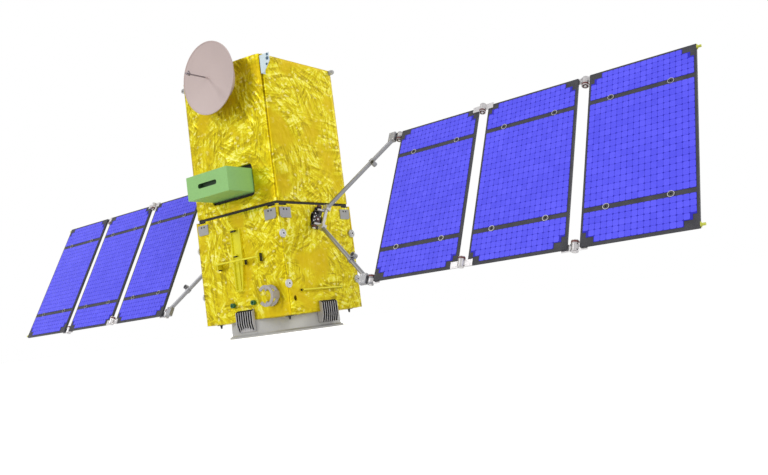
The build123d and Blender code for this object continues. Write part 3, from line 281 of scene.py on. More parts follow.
def brushed(name, colour, roughness, along=(4, 260, 260)):
    """Bare metal with fine drawn lines and duller patches."""
    finish = Finish(name, roughness, METALLIC)
    lines = finish.noise(1.0, 5.0, source=finish.scaled(along))
    patches = finish.noise(9.0, 3.0, 0.6)
    tone = finish.mottled(lines, colour, LINE_SPREAD)
    finish.colour(finish.blend(finish.span(patches, 0.0, 0.5), tone, shade(colour, DULL_TONE)))
    finish.rough(patches, roughness + METAL_GLOSS[0], roughness + METAL_GLOSS[1])
    finish.bump(lines, LINE_BUMP)
    return finish.material


# Rib fronts stand out of the ring brackets; what lies deeper between them is in shadow, which is painted dark
# into their colour
RIB_SHADE_DEPTH = 0.025
RIB_FOOT_Z = 0.048
RIB_FOOT_DEPTH = 0.006
RIB_FRONT_SLOPE = 0.29
RIB_HALF_WIDTH = 0.0995
# The camera slot: its half sizes, its lip, and the dark shade painted inside it
SLOT_HALF_WIDTH = 0.1155
SLOT_HALF_HEIGHT = 0.0205
SLOT_LIP = 0.002
SLOT_PAINTED_SHADE = (0.025, 0.07, 0.022, 1)
# The lifting gusset: its side and its own paler tone
GUSSET_SIDE = 0.6
GUSSET_PALE = (0.52, 0.62, 0.66, 1)


def shade_between_ribs(finish):
    """The ring brackets' plates and ribs behind the ribs' fronts, which slope in towards the foot: there dark
    shade is painted.
    """
    x, y, z = finish.axes()
    across_x = finish.maths("ABSOLUTE", x)
    across_y = finish.maths("ABSOLUTE", y)
    past_x = finish.maths("SUBTRACT", across_x, HALF_X)
    past_y = finish.maths("SUBTRACT", across_y, HALF_Y)
    above_foot = finish.maths("MULTIPLY", finish.maths("SUBTRACT", z, RIB_FOOT_Z), RIB_FRONT_SLOPE)
    limit = finish.maths("MINIMUM", finish.maths("ADD", above_foot, RIB_FOOT_DEPTH), RIB_SHADE_DEPTH)
    deep = finish.maths("LESS_THAN", finish.maths("MAXIMUM", past_x, past_y), limit)
    inside = finish.below(finish.maths("MINIMUM", across_x, across_y), RIB_HALF_WIDTH)
    return finish.maths("MULTIPLY", deep, inside)


def shade_in_camera_slot(finish):
    """The inside of the slot in the camera housing's front, where dark shade is painted."""
    x, y, z = finish.axes()
    middle = (CAMERA_BOX_LOW.z + CAMERA_BOX_HIGH.z) / 2
    level = finish.below(finish.maths("SUBTRACT", z, middle), SLOT_HALF_HEIGHT)
    inside = finish.maths("GREATER_THAN", y, CAMERA_BOX_LOW.y + SLOT_LIP)
    return finish.maths("MULTIPLY", finish.maths("MULTIPLY", finish.below(x, SLOT_HALF_WIDTH), level), inside)


def on_gusset(finish):
    """The lifting gusset, at the front right corner."""
    x, y, _ = finish.axes()
    return finish.maths("GREATER_THAN", finish.maths("SUBTRACT", x, y), GUSSET_SIDE)


# Foil shards: scale of the patches that share a direction, size across and along, share of the tone
FOIL_SHARDS = ((3.2, (7, 36), 0.44), (5.5, (13, 70), 0.36), (9.0, (44, 110), 0.20))
FOIL_SOFTNESS = 0.25
FOIL_BUMPS = (0.007, 0.0035)
# Stops of the foil's ramps: how calm an area is, its plain tone, the shards' tones with painted crease shade
# and highlights, and their share
FOIL_CALM = ((0.38, grey(0.22)), (0.50, grey(1)))
FOIL_PLAIN = ((0.35, (0.58, 0.38, 0.004)), (0.52, (0.60, 0.47, 0.005)), (0.68, (0.61, 0.52, 0.007)))
FOIL_SHADE_AND_HIGHLIGHT_TONES = (
    (0.22, (0.34, 0.26, 0.002)),
    (0.38, (0.52, 0.40, 0.003)),
    (0.50, (0.62, 0.50, 0.005)),
    (0.64, (0.73, 0.66, 0.018)),
    (0.80, (0.84, 0.80, 0.16)),
)
FOIL_TONE_SHARE = ((0, grey(0.30)), (1, grey(0.9)))
# Glints: highlights painted into the colour of a few small facets
GLINT_SCALE = (34, 55, 34)
GLINT_CHANCE = ((0.935, grey(0)), (0.975, grey(0.48)))
GLINT = (0.92, 0.89, 0.34, 1)


def foil():
    """Crinkled gold foil: shards sharing a direction from patch to patch, over calm and busy areas, with
    painted shade and highlights.
    """
    finish = Finish("gold_foil", 0.38, 0.5, Specular_Tint=(1.0, 0.84, 0.15, 1))
    finish.place = finish.attribute("foil_place", "Vector")
    mixed = 0.0
    ridges = []
    for patch_scale, size, share in FOIL_SHARDS:
        patch = finish.channel(finish.cells(patch_scale).outputs["Color"])
        turned = finish.add("ShaderNodeVectorRotate", rotation_type="Z_AXIS")
        finish.feed(turned.inputs["Vector"], finish.place)
        finish.feed(turned.inputs["Angle"], finish.maths("MULTIPLY", patch, math.tau))
        shards = finish.cells(1.0, finish.scaled((*size, 1), turned.outputs[0]), "SMOOTH_F1")
        shards.inputs["Smoothness"].default_value = FOIL_SOFTNESS
        part = finish.maths("MULTIPLY", finish.channel(shards.outputs["Color"]), share)
        mixed = finish.maths("ADD", part, mixed)
        ridges.append(shards.outputs["Distance"])
    cloud = finish.noise(2.6, 2.0, 0.5)
    calm = finish.ramp(cloud, *FOIL_CALM)
    level = finish.maths("ADD", finish.maths("MULTIPLY", finish.maths("SUBTRACT", mixed, 0.5), calm), 0.5)
    plain = finish.ramp(cloud, *FOIL_PLAIN)
    # The shards' tones: painted crease shade and painted streak highlights over the foil's gold
    shard_shade_and_highlight = finish.ramp(level, *FOIL_SHADE_AND_HIGHLIGHT_TONES)
    crinkled = finish.blend(finish.ramp(calm, *FOIL_TONE_SHARE), plain, shard_shade_and_highlight)
    # Painted highlights: a few small facets where the foil is busy take the glint colour
    chance = finish.channel(finish.cells(1.0, finish.scaled(GLINT_SCALE)).outputs["Color"], 1)
    glint = finish.times(finish.ramp(chance, *GLINT_CHANCE), calm)
    finish.colour(finish.blend(glint, crinkled, GLINT))
    finish.rough(mixed, 0.30, 0.46)
    normal = None
    for ridge, height in zip(ridges, FOIL_BUMPS):
        normal = finish.bump(finish.maths("MULTIPLY", ridge, calm), height, 0.5, under=normal)
    return finish.material


CELL_BLUES = ((0.0, (0.091, 0.086, 0.82)), (0.5, (0.101, 0.095, 0.86)), (1.0, (0.112, 0.105, 0.90)))
CELL_FINGERS = 95.0
CELL_FINGER_TINT = (1.12, 1.12, 1.05)


def cell_glass():
    """Blue cells under cover glass, each a little different, with fine grid fingers."""
    finish = Finish("solar_cells", 0.26, 0.0, Specular_IOR_Level=0.12)
    base = finish.ramp(finish.attribute("tone", "Fac"), *CELL_BLUES)
    fingers = finish.add("ShaderNodeTexWave", wave_type="BANDS", bands_direction="X")
    finish.feed(fingers.inputs["Vector"], finish.place)
    fingers.inputs["Scale"].default_value = CELL_FINGERS
    lines = finish.ramp(fingers.outputs["Fac"], (0.80, grey(1)), (1.0, CELL_FINGER_TINT))
    cloud = finish.ramp(finish.noise(3.0, 2.0), (0.3, (0.93, 0.93, 0.96)), (0.7, (1.04, 1.04, 1.02)))
    finish.colour(finish.times(finish.times(base, lines), cloud))
    finish.rough(finish.noise(40.0, 2.0), 0.22, 0.34)
    finish.bump(finish.noise(300.0, 1.0), 0.0002)
    return finish.material


PANEL_BLACK = (0.040, 0.040, 0.048)
WEAVE_SCALE = 240.0


def carbon():
    """Black faced panel skin with a fine weave."""
    finish = Finish("panel_black", 0.6, 0.0, Specular_IOR_Level=0.25)
    weave = finish.add("ShaderNodeTexChecker")
    finish.feed(weave.inputs["Vector"], finish.place)
    weave.inputs["Scale"].default_value = WEAVE_SCALE
    weave.inputs["Color1"].default_value = shade(PANEL_BLACK, 0.75)
    weave.inputs["Color2"].default_value = shade(PANEL_BLACK, 1.4)
    cloud = finish.ramp(finish.noise(14.0, 4.0), (0.3, grey(0.75)), (0.7, (1.25, 1.22, 1.18)))
    finish.colour(finish.times(weave.outputs["Color"], cloud))
    finish.rough(finish.noise(22.0, 3.0), 0.52, 0.68)
    finish.bump(weave.outputs["Fac"], 0.0003, 0.5)
    return finish.material


# Paints and bare metals: name, maker, colour, roughness and what differs from the maker's usual settings
SIMPLE_FINISHES = (
    ("ring_grey", painted, (0.39, 0.385, 0.375), 0.42, {"metallic": 0.25}),
    # Ribbed grey carries painted shade between the ribs
    ("ribbed_grey", painted, (0.40, 0.39, 0.40), 0.45, {"metallic": 0.25, "where": shade_between_ribs}),
    ("dark_structure", painted, (0.018, 0.016, 0.012), 0.7, {"spread": 0.3}),
    ("bracket_grey", painted, (0.32, 0.315, 0.31), 0.45, {"metallic": 0.3}),
    (
        "lug_grey", painted, (0.36, 0.36, 0.37), 0.45,
        {"metallic": 0.3, "where": on_gusset, "other": GUSSET_PALE},
    ),
    ("pad_grey", painted, (0.56, 0.56, 0.55), 0.4, {"metallic": 0.2}),
    ("clasp_pink", painted, (0.37, 0.345, 0.335), 0.45, {"metallic": 0.25}),
    # Camera green carries painted shade inside the slot
    (
        "camera_green", painted, (0.245, 0.49, 0.155), 0.5,
        {"grain": 40.0, "spread": 0.04, "where": shade_in_camera_slot, "other": SLOT_PAINTED_SHADE},
    ),
    ("antenna_paint", painted, (0.50, 0.40, 0.38), 0.55, {"grain": 45.0, "spread": 0.04}),
    ("feed_metal", brushed, (0.30, 0.26, 0.27), 0.4, {}),
    ("gold_bar", painted, (0.66, 0.60, 0.012), 0.4, {"spread": 0.12, "metallic": 0.45}),
    ("plug_green", painted, (0.010, 0.10, 0.035), 0.38, {"spread": 0.2}),
    ("thruster_gold", brushed, (0.52, 0.42, 0.05), 0.35, {}),
    ("black_anodised", painted, (0.012, 0.012, 0.013), 0.5, {"spread": 0.3}),
    ("hinge_metal", brushed, (0.50, 0.485, 0.49), 0.36, {}),
    ("yoke_tube", brushed, (0.27, 0.27, 0.285), 0.42, {"along": (3, 320, 320)}),
    ("sensor_yellow", painted, (0.50, 0.52, 0.05), 0.4, {}),
    ("spring_red", painted, (0.10, 0.016, 0.012), 0.4, {"spread": 0.3}),
    ("hub_dark", brushed, (0.05, 0.045, 0.045), 0.45, {}),
    ("cap_white", painted, (0.74, 0.72, 0.72), 0.4, {}),
    ("bolt_blue", painted, (0.05, 0.11, 0.17), 0.4, {"spread": 0.2}),
    ("cell_backing", painted, (0.030, 0.026, 0.46), 0.5, {"spread": 0.15, "Specular_IOR_Level": 0.1}),
)

FINISHES = {"gold_foil": foil(), "solar_cells": cell_glass(), "panel_black": carbon()}
for name, make, colour, roughness, settings in SIMPLE_FINISHES:
    FINISHES[name] = make(name, colour, roughness, **settings)

# Nodes whose finish differs a little from their slot's
OWN_FINISH = {
    "ring_brackets": "ribbed_grey",
    "top_lugs": "lug_grey",
    "holddown_pads": "pad_grey",
    "umbilical_bracket": "clasp_pink",
    "right_drive_hub": "hub_dark",
    "left_drive_hub": "hub_dark",
}

for subpart in frame["record"]["subparts"]:
    node = NODES[subpart["node"]]
    node.data.materials.clear()
    node.data.materials.append(FINISHES[OWN_FINISH.get(subpart["node"], subpart["material_slot"])])


# Making pieces
WELD = 1e-6


def piece(name, mesh, finish, body, stands_for=()):
    made = bpy.data.objects.new(name, mesh)
    bpy.context.scene.collection.objects.link(made)
    mesh.materials.clear()
    mesh.materials.append(FINISHES[finish])
    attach(made, body)
    if stands_for:
        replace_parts(made, *stands_for)
    return made


def islands(node_name):
    """The boxes of a node's separate solids, as lowest and highest corners."""
    made = bmesh.new()
    made.from_mesh(NODES[node_name].data)
    bmesh.ops.remove_doubles(made, verts=made.verts, dist=WELD)
    left = set(made.verts)
    boxes = []
    while left:
        waiting = [left.pop()]
        group = []
        while waiting:
            vert = waiting.pop()
            group.append(tuple(vert.co))
            for edge in vert.link_edges:
                other = edge.other_vert(vert)
                if other in left:
                    left.remove(other)
                    waiting.append(other)
        boxes.append((Vector(map(min, *group)), Vector(map(max, *group))))
    made.free()
    return sorted(boxes, key=lambda box: (*box[0], *box[1]))


# Foil blankets: pitch of the grid, rise of the face, first seed, and shift of the paint from wall to wall
FOIL_GRID = 0.009
FOIL_PUFF = 0.0045
FOIL_RISE = 0.0005
FOIL_SEED = 11
FOIL_STEP = 1.7
# Facets: spacing, stretch and height; fewest seeds on a wall, and points measured at a time
FOIL_FACETS = ((0.15, 5.0, 0.0060), (0.060, 4.0, 0.0030), (0.028, 2.5, 0.0014))
FEWEST_SEEDS = 8
BATCH = 4000
# The foil lies flatter near a wall's edges: share of the facets that stays there, and reach
EDGE_SHARE = 0.25
EDGE_EASE = 0.03
ON_FACE = 1e-5
# How far off a fitting the foil rises, its height under it, and how near a fitting stands to hold it
HELD_EASE = 0.035
HELD_HEIGHT = 0.0004
HELD_REACH = 0.004
FOIL_HELD_BY = (
    "corner_plates",
    "holddown_pads",
    "ring_brackets",
    "service_plugs",
    "umbilical_bracket",
    "equipment_rails",
    "top_lugs",
    "deck_feet",
    "orbit_thrusters",
    "attitude_thrusters",
)
HELD_BOXES = [box for node_name in FOIL_HELD_BY for box in islands(node_name)]
# The turning crossbar of each drive sweeps close over the side walls
DRIVE_SWEEP = 0.112
for sign in SIDES.values():
    low_corner = Vector((sign * HALF_X, -DRIVE_SWEEP, AXIS_Z - DRIVE_SWEEP))
    HELD_BOXES.append((low_corner, Vector((sign * HALF_X, DRIVE_SWEEP, AXIS_Z + DRIVE_SWEEP))))


def facet_height(points, spacing, stretch, rng, low, high):
    """Distance to the nearest of many seeds, each stretched its own way: facets with sharp ridges."""
    size = high - low
    count = max(FEWEST_SEEDS, int(size[0] * size[1] / spacing**2))
    seeds = low + rng.random((count, 2)) * size
    angle = rng.random(count) * math.pi
    along = np.stack([np.cos(angle), np.sin(angle)], 1)
    across = np.stack([-np.sin(angle), np.cos(angle)], 1)
    ratio = 1 + rng.random(count) * (stretch - 1)
    height = np.empty(len(points))
    for start in range(0, len(points), BATCH):
        offset = points[start : start + BATCH, None, :] - seeds[None]
        far = (offset * along).sum(2) / ratio
        wide = (offset * across).sum(2)
        height[start : start + BATCH] = np.sqrt((far**2 + wide**2).min(1))
    return height / spacing


def smooth_step(share):
    share = np.clip(share, 0, 1)
    return share * share * (3 - 2 * share)


def held_down(flat, flat_axes, axis, face):
    """0 on a fitting that sits on this wall, rising to 1 a little way off it."""
    free = np.ones(len(flat))
    for low, high in HELD_BOXES:
        if low[axis] - HELD_REACH > face or high[axis] + HELD_REACH < face:
            continue
        box_low = np.array([low[i] for i in flat_axes])
        box_high = np.array([high[i] for i in flat_axes])
        off = np.maximum(np.maximum(box_low - flat, flat - box_high), 0)
        free = np.minimum(free, smooth_step(np.hypot(off[:, 0], off[:, 1]) / HELD_EASE))
    return free


def cut_to_grid(mesh, low, high, flat_axes):
    """Cuts a wall's mesh through along both of its flat directions."""
    made = bmesh.new()
    made.from_mesh(mesh)
    bmesh.ops.remove_doubles(made, verts=made.verts, dist=WELD)
    for flat in flat_axes:
        normal = Vector((0, 0, 0))
        normal[flat] = 1
        steps = int((high[flat] - low[flat]) / FOIL_GRID)
        pitch = (high[flat] - low[flat]) / steps
        for i in range(1, steps):
            place = Vector(low)
            place[flat] = low[flat] + pitch * i
            everything = made.verts[:] + made.edges[:] + made.faces[:]
            bmesh.ops.bisect_plane(made, geom=everything, plane_co=place, plane_no=normal, dist=WELD)
    made.to_mesh(mesh)
    made.free()


def foil_blanket(node_name, axis, sign, seed):
    """A copy of a wall's solid, cut to a fine grid, with its outer face puffed and crinkled."""
    mesh = NODES[node_name].data.copy()
    low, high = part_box(node_name)
    flat_axes = [i for i in range(3) if i != axis]
    cut_to_grid(mesh, low, high, flat_axes)
    count = len(mesh.vertices)
    co = np.empty(count * 3, np.float32)
    mesh.vertices.foreach_get("co", co)
    co = co.reshape(-1, 3).astype(float)
    face = high[axis] if sign > 0 else low[axis]
    outer = np.abs(co[:, axis] - face) < ON_FACE
    flat = co[outer][:, flat_axes]
    box_low = np.array([low[i] for i in flat_axes])
    box_high = np.array([high[i] for i in flat_axes])
    rng = np.random.default_rng(seed)
    height = np.zeros(len(flat))
    for spacing, stretch, rise in FOIL_FACETS:
        height += rise * facet_height(flat, spacing, stretch, rng, box_low, box_high)
    ease = smooth_step(np.minimum(flat - box_low, box_high - flat).min(1) / EDGE_EASE)
    height = (height - height.mean()) * (EDGE_SHARE + (1 - EDGE_SHARE) * ease) + FOIL_PUFF * ease
    height = np.maximum(height, 0) + FOIL_RISE * ease
    free = held_down(flat, flat_axes, axis, face)
    co[outer, axis] += sign * (height * free + HELD_HEIGHT * (1 - free))
    place = np.stack([co[:, flat_axes[0]], co[:, flat_axes[1]], np.full(count, seed * FOIL_STEP)], 1)
    attribute = mesh.attributes.new("foil_place", "FLOAT_VECTOR", "POINT")
    attribute.data.foreach_set("vector", place.astype(np.float32).ravel())
    mesh.vertices.foreach_set("co", co.astype(np.float32).ravel())
    mesh.polygons.foreach_set("use_smooth", [True] * len(mesh.polygons))
    mesh.update()
    return piece(f"foil_{node_name}", mesh, "gold_foil", "root", stands_for=[node_name])


# Foil walls: node, axis of the outward direction, sign
FOIL_WALLS = (
    ("lower_front_panel", 1, -1),
    ("lower_rear_panel", 1, 1),
    ("lower_right_panel", 0, 1),
    ("lower_left_panel", 0, -1),
    ("upper_front_panel", 1, -1),
    ("upper_rear_panel", 1, 1),
    ("upper_right_panel", 0, 1),
    ("upper_left_panel", 0, -1),
    ("lower_deck", 2, -1),
    ("top_panel", 2, 1),
)

for number, (name, axis, sign) in enumerate(FOIL_WALLS):
    foil_blanket(name, axis, sign, FOIL_SEED + number)


# Solar cells
CELL_COLUMNS = 18
CELL_ROW_HEIGHT = 0.0505
CELL_GAP = 0.0016
CELL_CUT = 0.0065
CELL_RISE = 0.0006
CELL_SEEDS = {"right": 300, "left": 310}
# The bare strips that carry the bushings
STRIP_V = 0.445
STRIP_HALF = 0.019
# Stepped notches at a panel's corners: length and height, and how far a cell may reach in
CORNER_CLEAR = ((0.092, 0.058), (0.040, 0.096))
CORNER_OVERLAP = 0.02


def wing_extent(node_name):
    """The node's box in the wing's own axes."""
    back = WING_FRAME.inverted()
    co = np.array([tuple(back @ v.co) for v in NODES[node_name].data.vertices])
    return co.min(0), co.max(0)


def strip_sections(low, high):
    """Bands of cells below, between and above the bare strips."""
    inner = STRIP_V - STRIP_HALF
    outer = STRIP_V + STRIP_HALF
    return [(low, -outer), (-inner, inner), (outer, high)]


def on_panel(x, v, low, high, pitch, step):
    """False where a cell would stand over the stepped notch of a corner."""
    from_side = min(x - low[0], high[0] - x) - pitch / 2
    from_end = min(v - low[1], high[1] - v) - step / 2
    return not any(
        from_side < length - CORNER_OVERLAP and from_end < height - CORNER_OVERLAP
        for length, height in CORNER_CLEAR
    )


def add_cell(made, tones, x_span, v_span, base, tone):
    """One cell with cut corners, as a thin plate."""
    x_low, x_high = x_span[0] + CELL_GAP / 2, x_span[1] - CELL_GAP / 2
    v_low, v_high = v_span[0] + CELL_GAP / 2, v_span[1] - CELL_GAP / 2
    outline = [
        (x_low + CELL_CUT, v_low), (x_high - CELL_CUT, v_low),
        (x_high, v_low + CELL_CUT), (x_high, v_high - CELL_CUT),
        (x_high - CELL_CUT, v_high), (x_low + CELL_CUT, v_high),
        (x_low, v_high - CELL_CUT), (x_low, v_low + CELL_CUT),
    ]
    lower = [made.verts.new(WING_FRAME @ Vector((x, v, base))) for x, v in outline]
    upper = [made.verts.new(WING_FRAME @ Vector((x, v, base + CELL_RISE))) for x, v in outline]
    faces = [made.faces.new(upper)]
    for i in range(len(outline)):
        j = (i + 1) % len(outline)
        faces.append(made.faces.new((lower[i], lower[j], upper[j], upper[i])))
    for face in faces:
        face[tones] = tone


def solar_panel(side, number):
    """A panel's cells, one by one, over the node's plate as their backing."""
    node_name = f"{side}_panel_{number}_cells"
    low, high = wing_extent(node_name)
    body = f"{side}_wing_{number}"
    backing = NODES[node_name].data.copy()
    piece(f"{side}_backing_{number}", backing, "cell_backing", body, [node_name])
    rng = np.random.default_rng(CELL_SEEDS[side] + number)
    made = bmesh.new()
    tones = made.faces.layers.float.new("tone")
    pitch = (high[0] - low[0]) / CELL_COLUMNS
    for v_low, v_high in strip_sections(low[1], high[1]):
        rows = max(1, round((v_high - v_low) / CELL_ROW_HEIGHT))
        step = (v_high - v_low) / rows
        for row in range(rows):
            for column in range(CELL_COLUMNS):
                x = low[0] + pitch * column
                v = v_low + step * row
                if on_panel(x + pitch / 2, v + step / 2, low, high, pitch, step):
                    add_cell(made, tones, (x, x + pitch), (v, v + step), high[2], rng.random())
    mesh = bpy.data.meshes.new(f"{side}_cells_{number}")
    made.to_mesh(mesh)
    made.free()
    piece(f"{side}_cells_{number}", mesh, "solar_cells", body)


for side in SIDES:
    for number in PANELS:
        solar_panel(side, number)


# Small solids: how deep they sit in what carries them, and the angle from which an edge is sharp
SEAT = 0.001
SHARP_ANGLE = math.radians(32)
# Bolt heads: sides, and the shares of the height and the radius where the chamfer begins and ends
BOLT_SIDES = 6
BOLT_CHAMFER = (0.7, 0.84)
# Domes: share of the height that is upright, and step of the arc in degrees
DOME_FOOT = 0.3
DOME_STEP = 18
SPIRAL_STEPS = 20


class Bits:
    """Small solids gathered in one mesh, which becomes one piece."""

    def __init__(self, name, finish, body, slot):
        self.name = name
        self.finish = finish
        self.body = body
        self.slot = slot
        self.made = bmesh.new()

    def turned(self, place, outline, steps=24):
        """A solid turned about the place's z, from radius and height: from axis to axis, or a ring."""
        rings = []
        for radius, height in outline:
            angles = [math.tau * i / steps for i in range(steps if radius else 1)]
            points = [Vector((radius * math.cos(a), radius * math.sin(a), height)) for a in angles]
            rings.append([self.made.verts.new(place @ point) for point in points])
        pairs = list(zip(rings, rings[1:]))
        if len(rings[0]) > 1:
            pairs.append((rings[-1], rings[0]))
        for near, far in pairs:
            for i in range(steps):
                corners = [near[i % len(near)], near[(i + 1) % steps % len(near)]]
                corners += [far[(i + 1) % steps % len(far)], far[i % len(far)]]
                self.made.faces.new(dict.fromkeys(corners))

    def bolt(self, place, radius, height):
        """A hexagonal head with a chamfered top."""
        start, top = BOLT_CHAMFER
        outline = [(0, -SEAT), (radius, -SEAT), (radius, height * start), (radius * top, height), (0, height)]
        self.turned(place, outline, BOLT_SIDES)

    def dome(self, place, radius, height):
        arc = [math.radians(angle) for angle in range(0, 90, DOME_STEP)]
        rises = [height * (DOME_FOOT + (1 - DOME_FOOT) * math.sin(a)) for a in arc]
        outline = [(radius * math.cos(a), rise) for a, rise in zip(arc, rises)]
        self.turned(place, [(0, -SEAT), (radius, -SEAT), *outline, (0, height)])

    def sleeve(self, place, inner, outer, low, high):
        """A ring with small chamfers at its top."""
        cut = min(outer - inner, high - low) / 4
        outline = [(outer, low), (outer, high - cut), (outer - cut, high)]
        outline += [(inner + cut, high), (inner, high - cut), (inner, low)]
        self.turned(place, outline)

    def spiral(self, place, inner, outer, turns, thickness, low, high):
        """A flat strip wound from an inner to an outer radius."""
        steps = int(turns * SPIRAL_STEPS)
        sections = []
        for i in range(steps + 1):
            angle = math.tau * turns * i / steps
            middle = inner + (outer - inner) * i / steps
            radii = (middle - thickness / 2, middle + thickness / 2)
            corners = [(radii[0], low), (radii[1], low), (radii[1], high), (radii[0], high)]
            points = [Vector((r * math.cos(angle), r * math.sin(angle), height)) for r, height in corners]
            sections.append([self.made.verts.new(place @ point) for point in points])
        for near, far in zip(sections, sections[1:]):
            for i in range(4):
                j = (i + 1) % 4
                self.made.faces.new((near[i], near[j], far[j], far[i]))
        self.made.faces.new(sections[0])
        self.made.faces.new(sections[-1])

    def block(self, low, high):
        """A box between two corners with its edges broken."""
        low, high = Vector(low), Vector(high)
        size = high - low
        matrix = Matrix.Translation((low + high) / 2) @ Matrix.Diagonal((*size, 1))
        box = bmesh.ops.create_cube(self.made, size=1, matrix=matrix)
        edges = {edge for vert in box["verts"] for edge in vert.link_edges}
        bmesh.ops.bevel(self.made, geom=list(edges), offset=min(size) / 6, segments=2, affect="EDGES")

    def close(self):
        bmesh.ops.recalc_face_normals(self.made, faces=self.made.faces)
        mesh = bpy.data.meshes.new(self.name)
        self.made.to_mesh(mesh)
        self.made.free()
        mesh.polygons.foreach_set("use_smooth", [True] * len(mesh.polygons))
        mesh.set_sharp_from_angle(angle=SHARP_ANGLE)
        return piece(self.name, mesh, self.finish, self.body)


def facing(place, direction):
    """A frame at a place with its z along a direction."""
    return Matrix.Translation(place) @ Vector(direction).to_track_quat("Z", "Y").to_matrix().to_4x4()


def around(place, direction, radius, angle):
    """A frame beside a place, at a radius and an angle in degrees about the direction."""
    a = math.radians(angle)
    return facing(place, direction) @ Matrix.Translation((radius * math.cos(a), radius * math.sin(a), 0))


# Hinge details: the drums' open faces, their springs and caps, and the pins' outer ends
HINGE_CENTRE = 0.694
HINGE_HALF = 0.026
HINGE_DRUM = 0.024
DRUM_RADIUS = 0.027
SPRING_RADII = (0.0128, 0.0202)
SPRING_TURNS = 3.5
SPRING_THICKNESS = 0.0012
SPRING_DEPTHS = (-0.0065, -0.0012)
BAND_RISE = 0.0007
BAND_SPAN = (-0.019, -0.005)
HUB_CAP = (0.0108, 0.006)
PIN_NUT = (0.012, 0.007)
ROOT_DRUM_RADIUS = 0.022
ROOT_DRUM_END = 0.108
ROOT_BAND_SPAN = (-0.016, -0.004)
ROOT_CAP = (0.015, 0.006)
# Bolts on the drive's crossbar, in the room between the root ears: place along and across it, radius
CROSSBAR_BOLTS = (
    (0.0, 0.0, 0.0105),
    (0.036, 0.045, 0.0065), (-0.036, 0.045, 0.0065), (0.036, -0.018, 0.0065), (-0.036, -0.018, 0.0065),
    (0.0, 0.046, 0.0075), (0.019, 0.030, 0.0045), (-0.019, 0.030, 0.0045),
)
CROSSBAR_FACE = 0.013
CROSSBAR_BOLT_HEIGHT = 0.004
CROSSBAR_RING = (0.0145, 0.0215)
CROSSBAR_RING_HEIGHT = 0.003
# Screws on the hinge leaves, on the yoke's heads and on its root blocks: places, then radius and height
LEAF_FACE = 0.017
LEAF_REACHES = (0.042, 0.074)
LEAF_HALF_PITCH = 0.015
LEAF_SCREW = (0.0048, 0.0012)
HEAD_REACHES = (0.044, 0.074)
HEAD_CENTRE = 0.677
HEAD_HALF_PITCH = 0.028
HEAD_FACE = 0.018
HEAD_BOLT = (0.006, 0.004)
BLOCK_FACE = 0.024
BLOCK_HALF_PITCHES = (0.015, 0.014)
BLOCK_BOLT = (0.005, 0.0035)
ROOT_PIN = Vector(JOINTS["right_yoke_fold"]["pos_m"])
ROOT_PIN_X = ROOT_PIN.x
ROOT_PIN_N = (ROOT_PIN - wing_point(ROOT_PIN_X, 0, 0)).dot(OUT)
ROOT_BLOCK_X = ROOT_PIN_X + 0.060
ROOT_BLOCK_V = 0.095


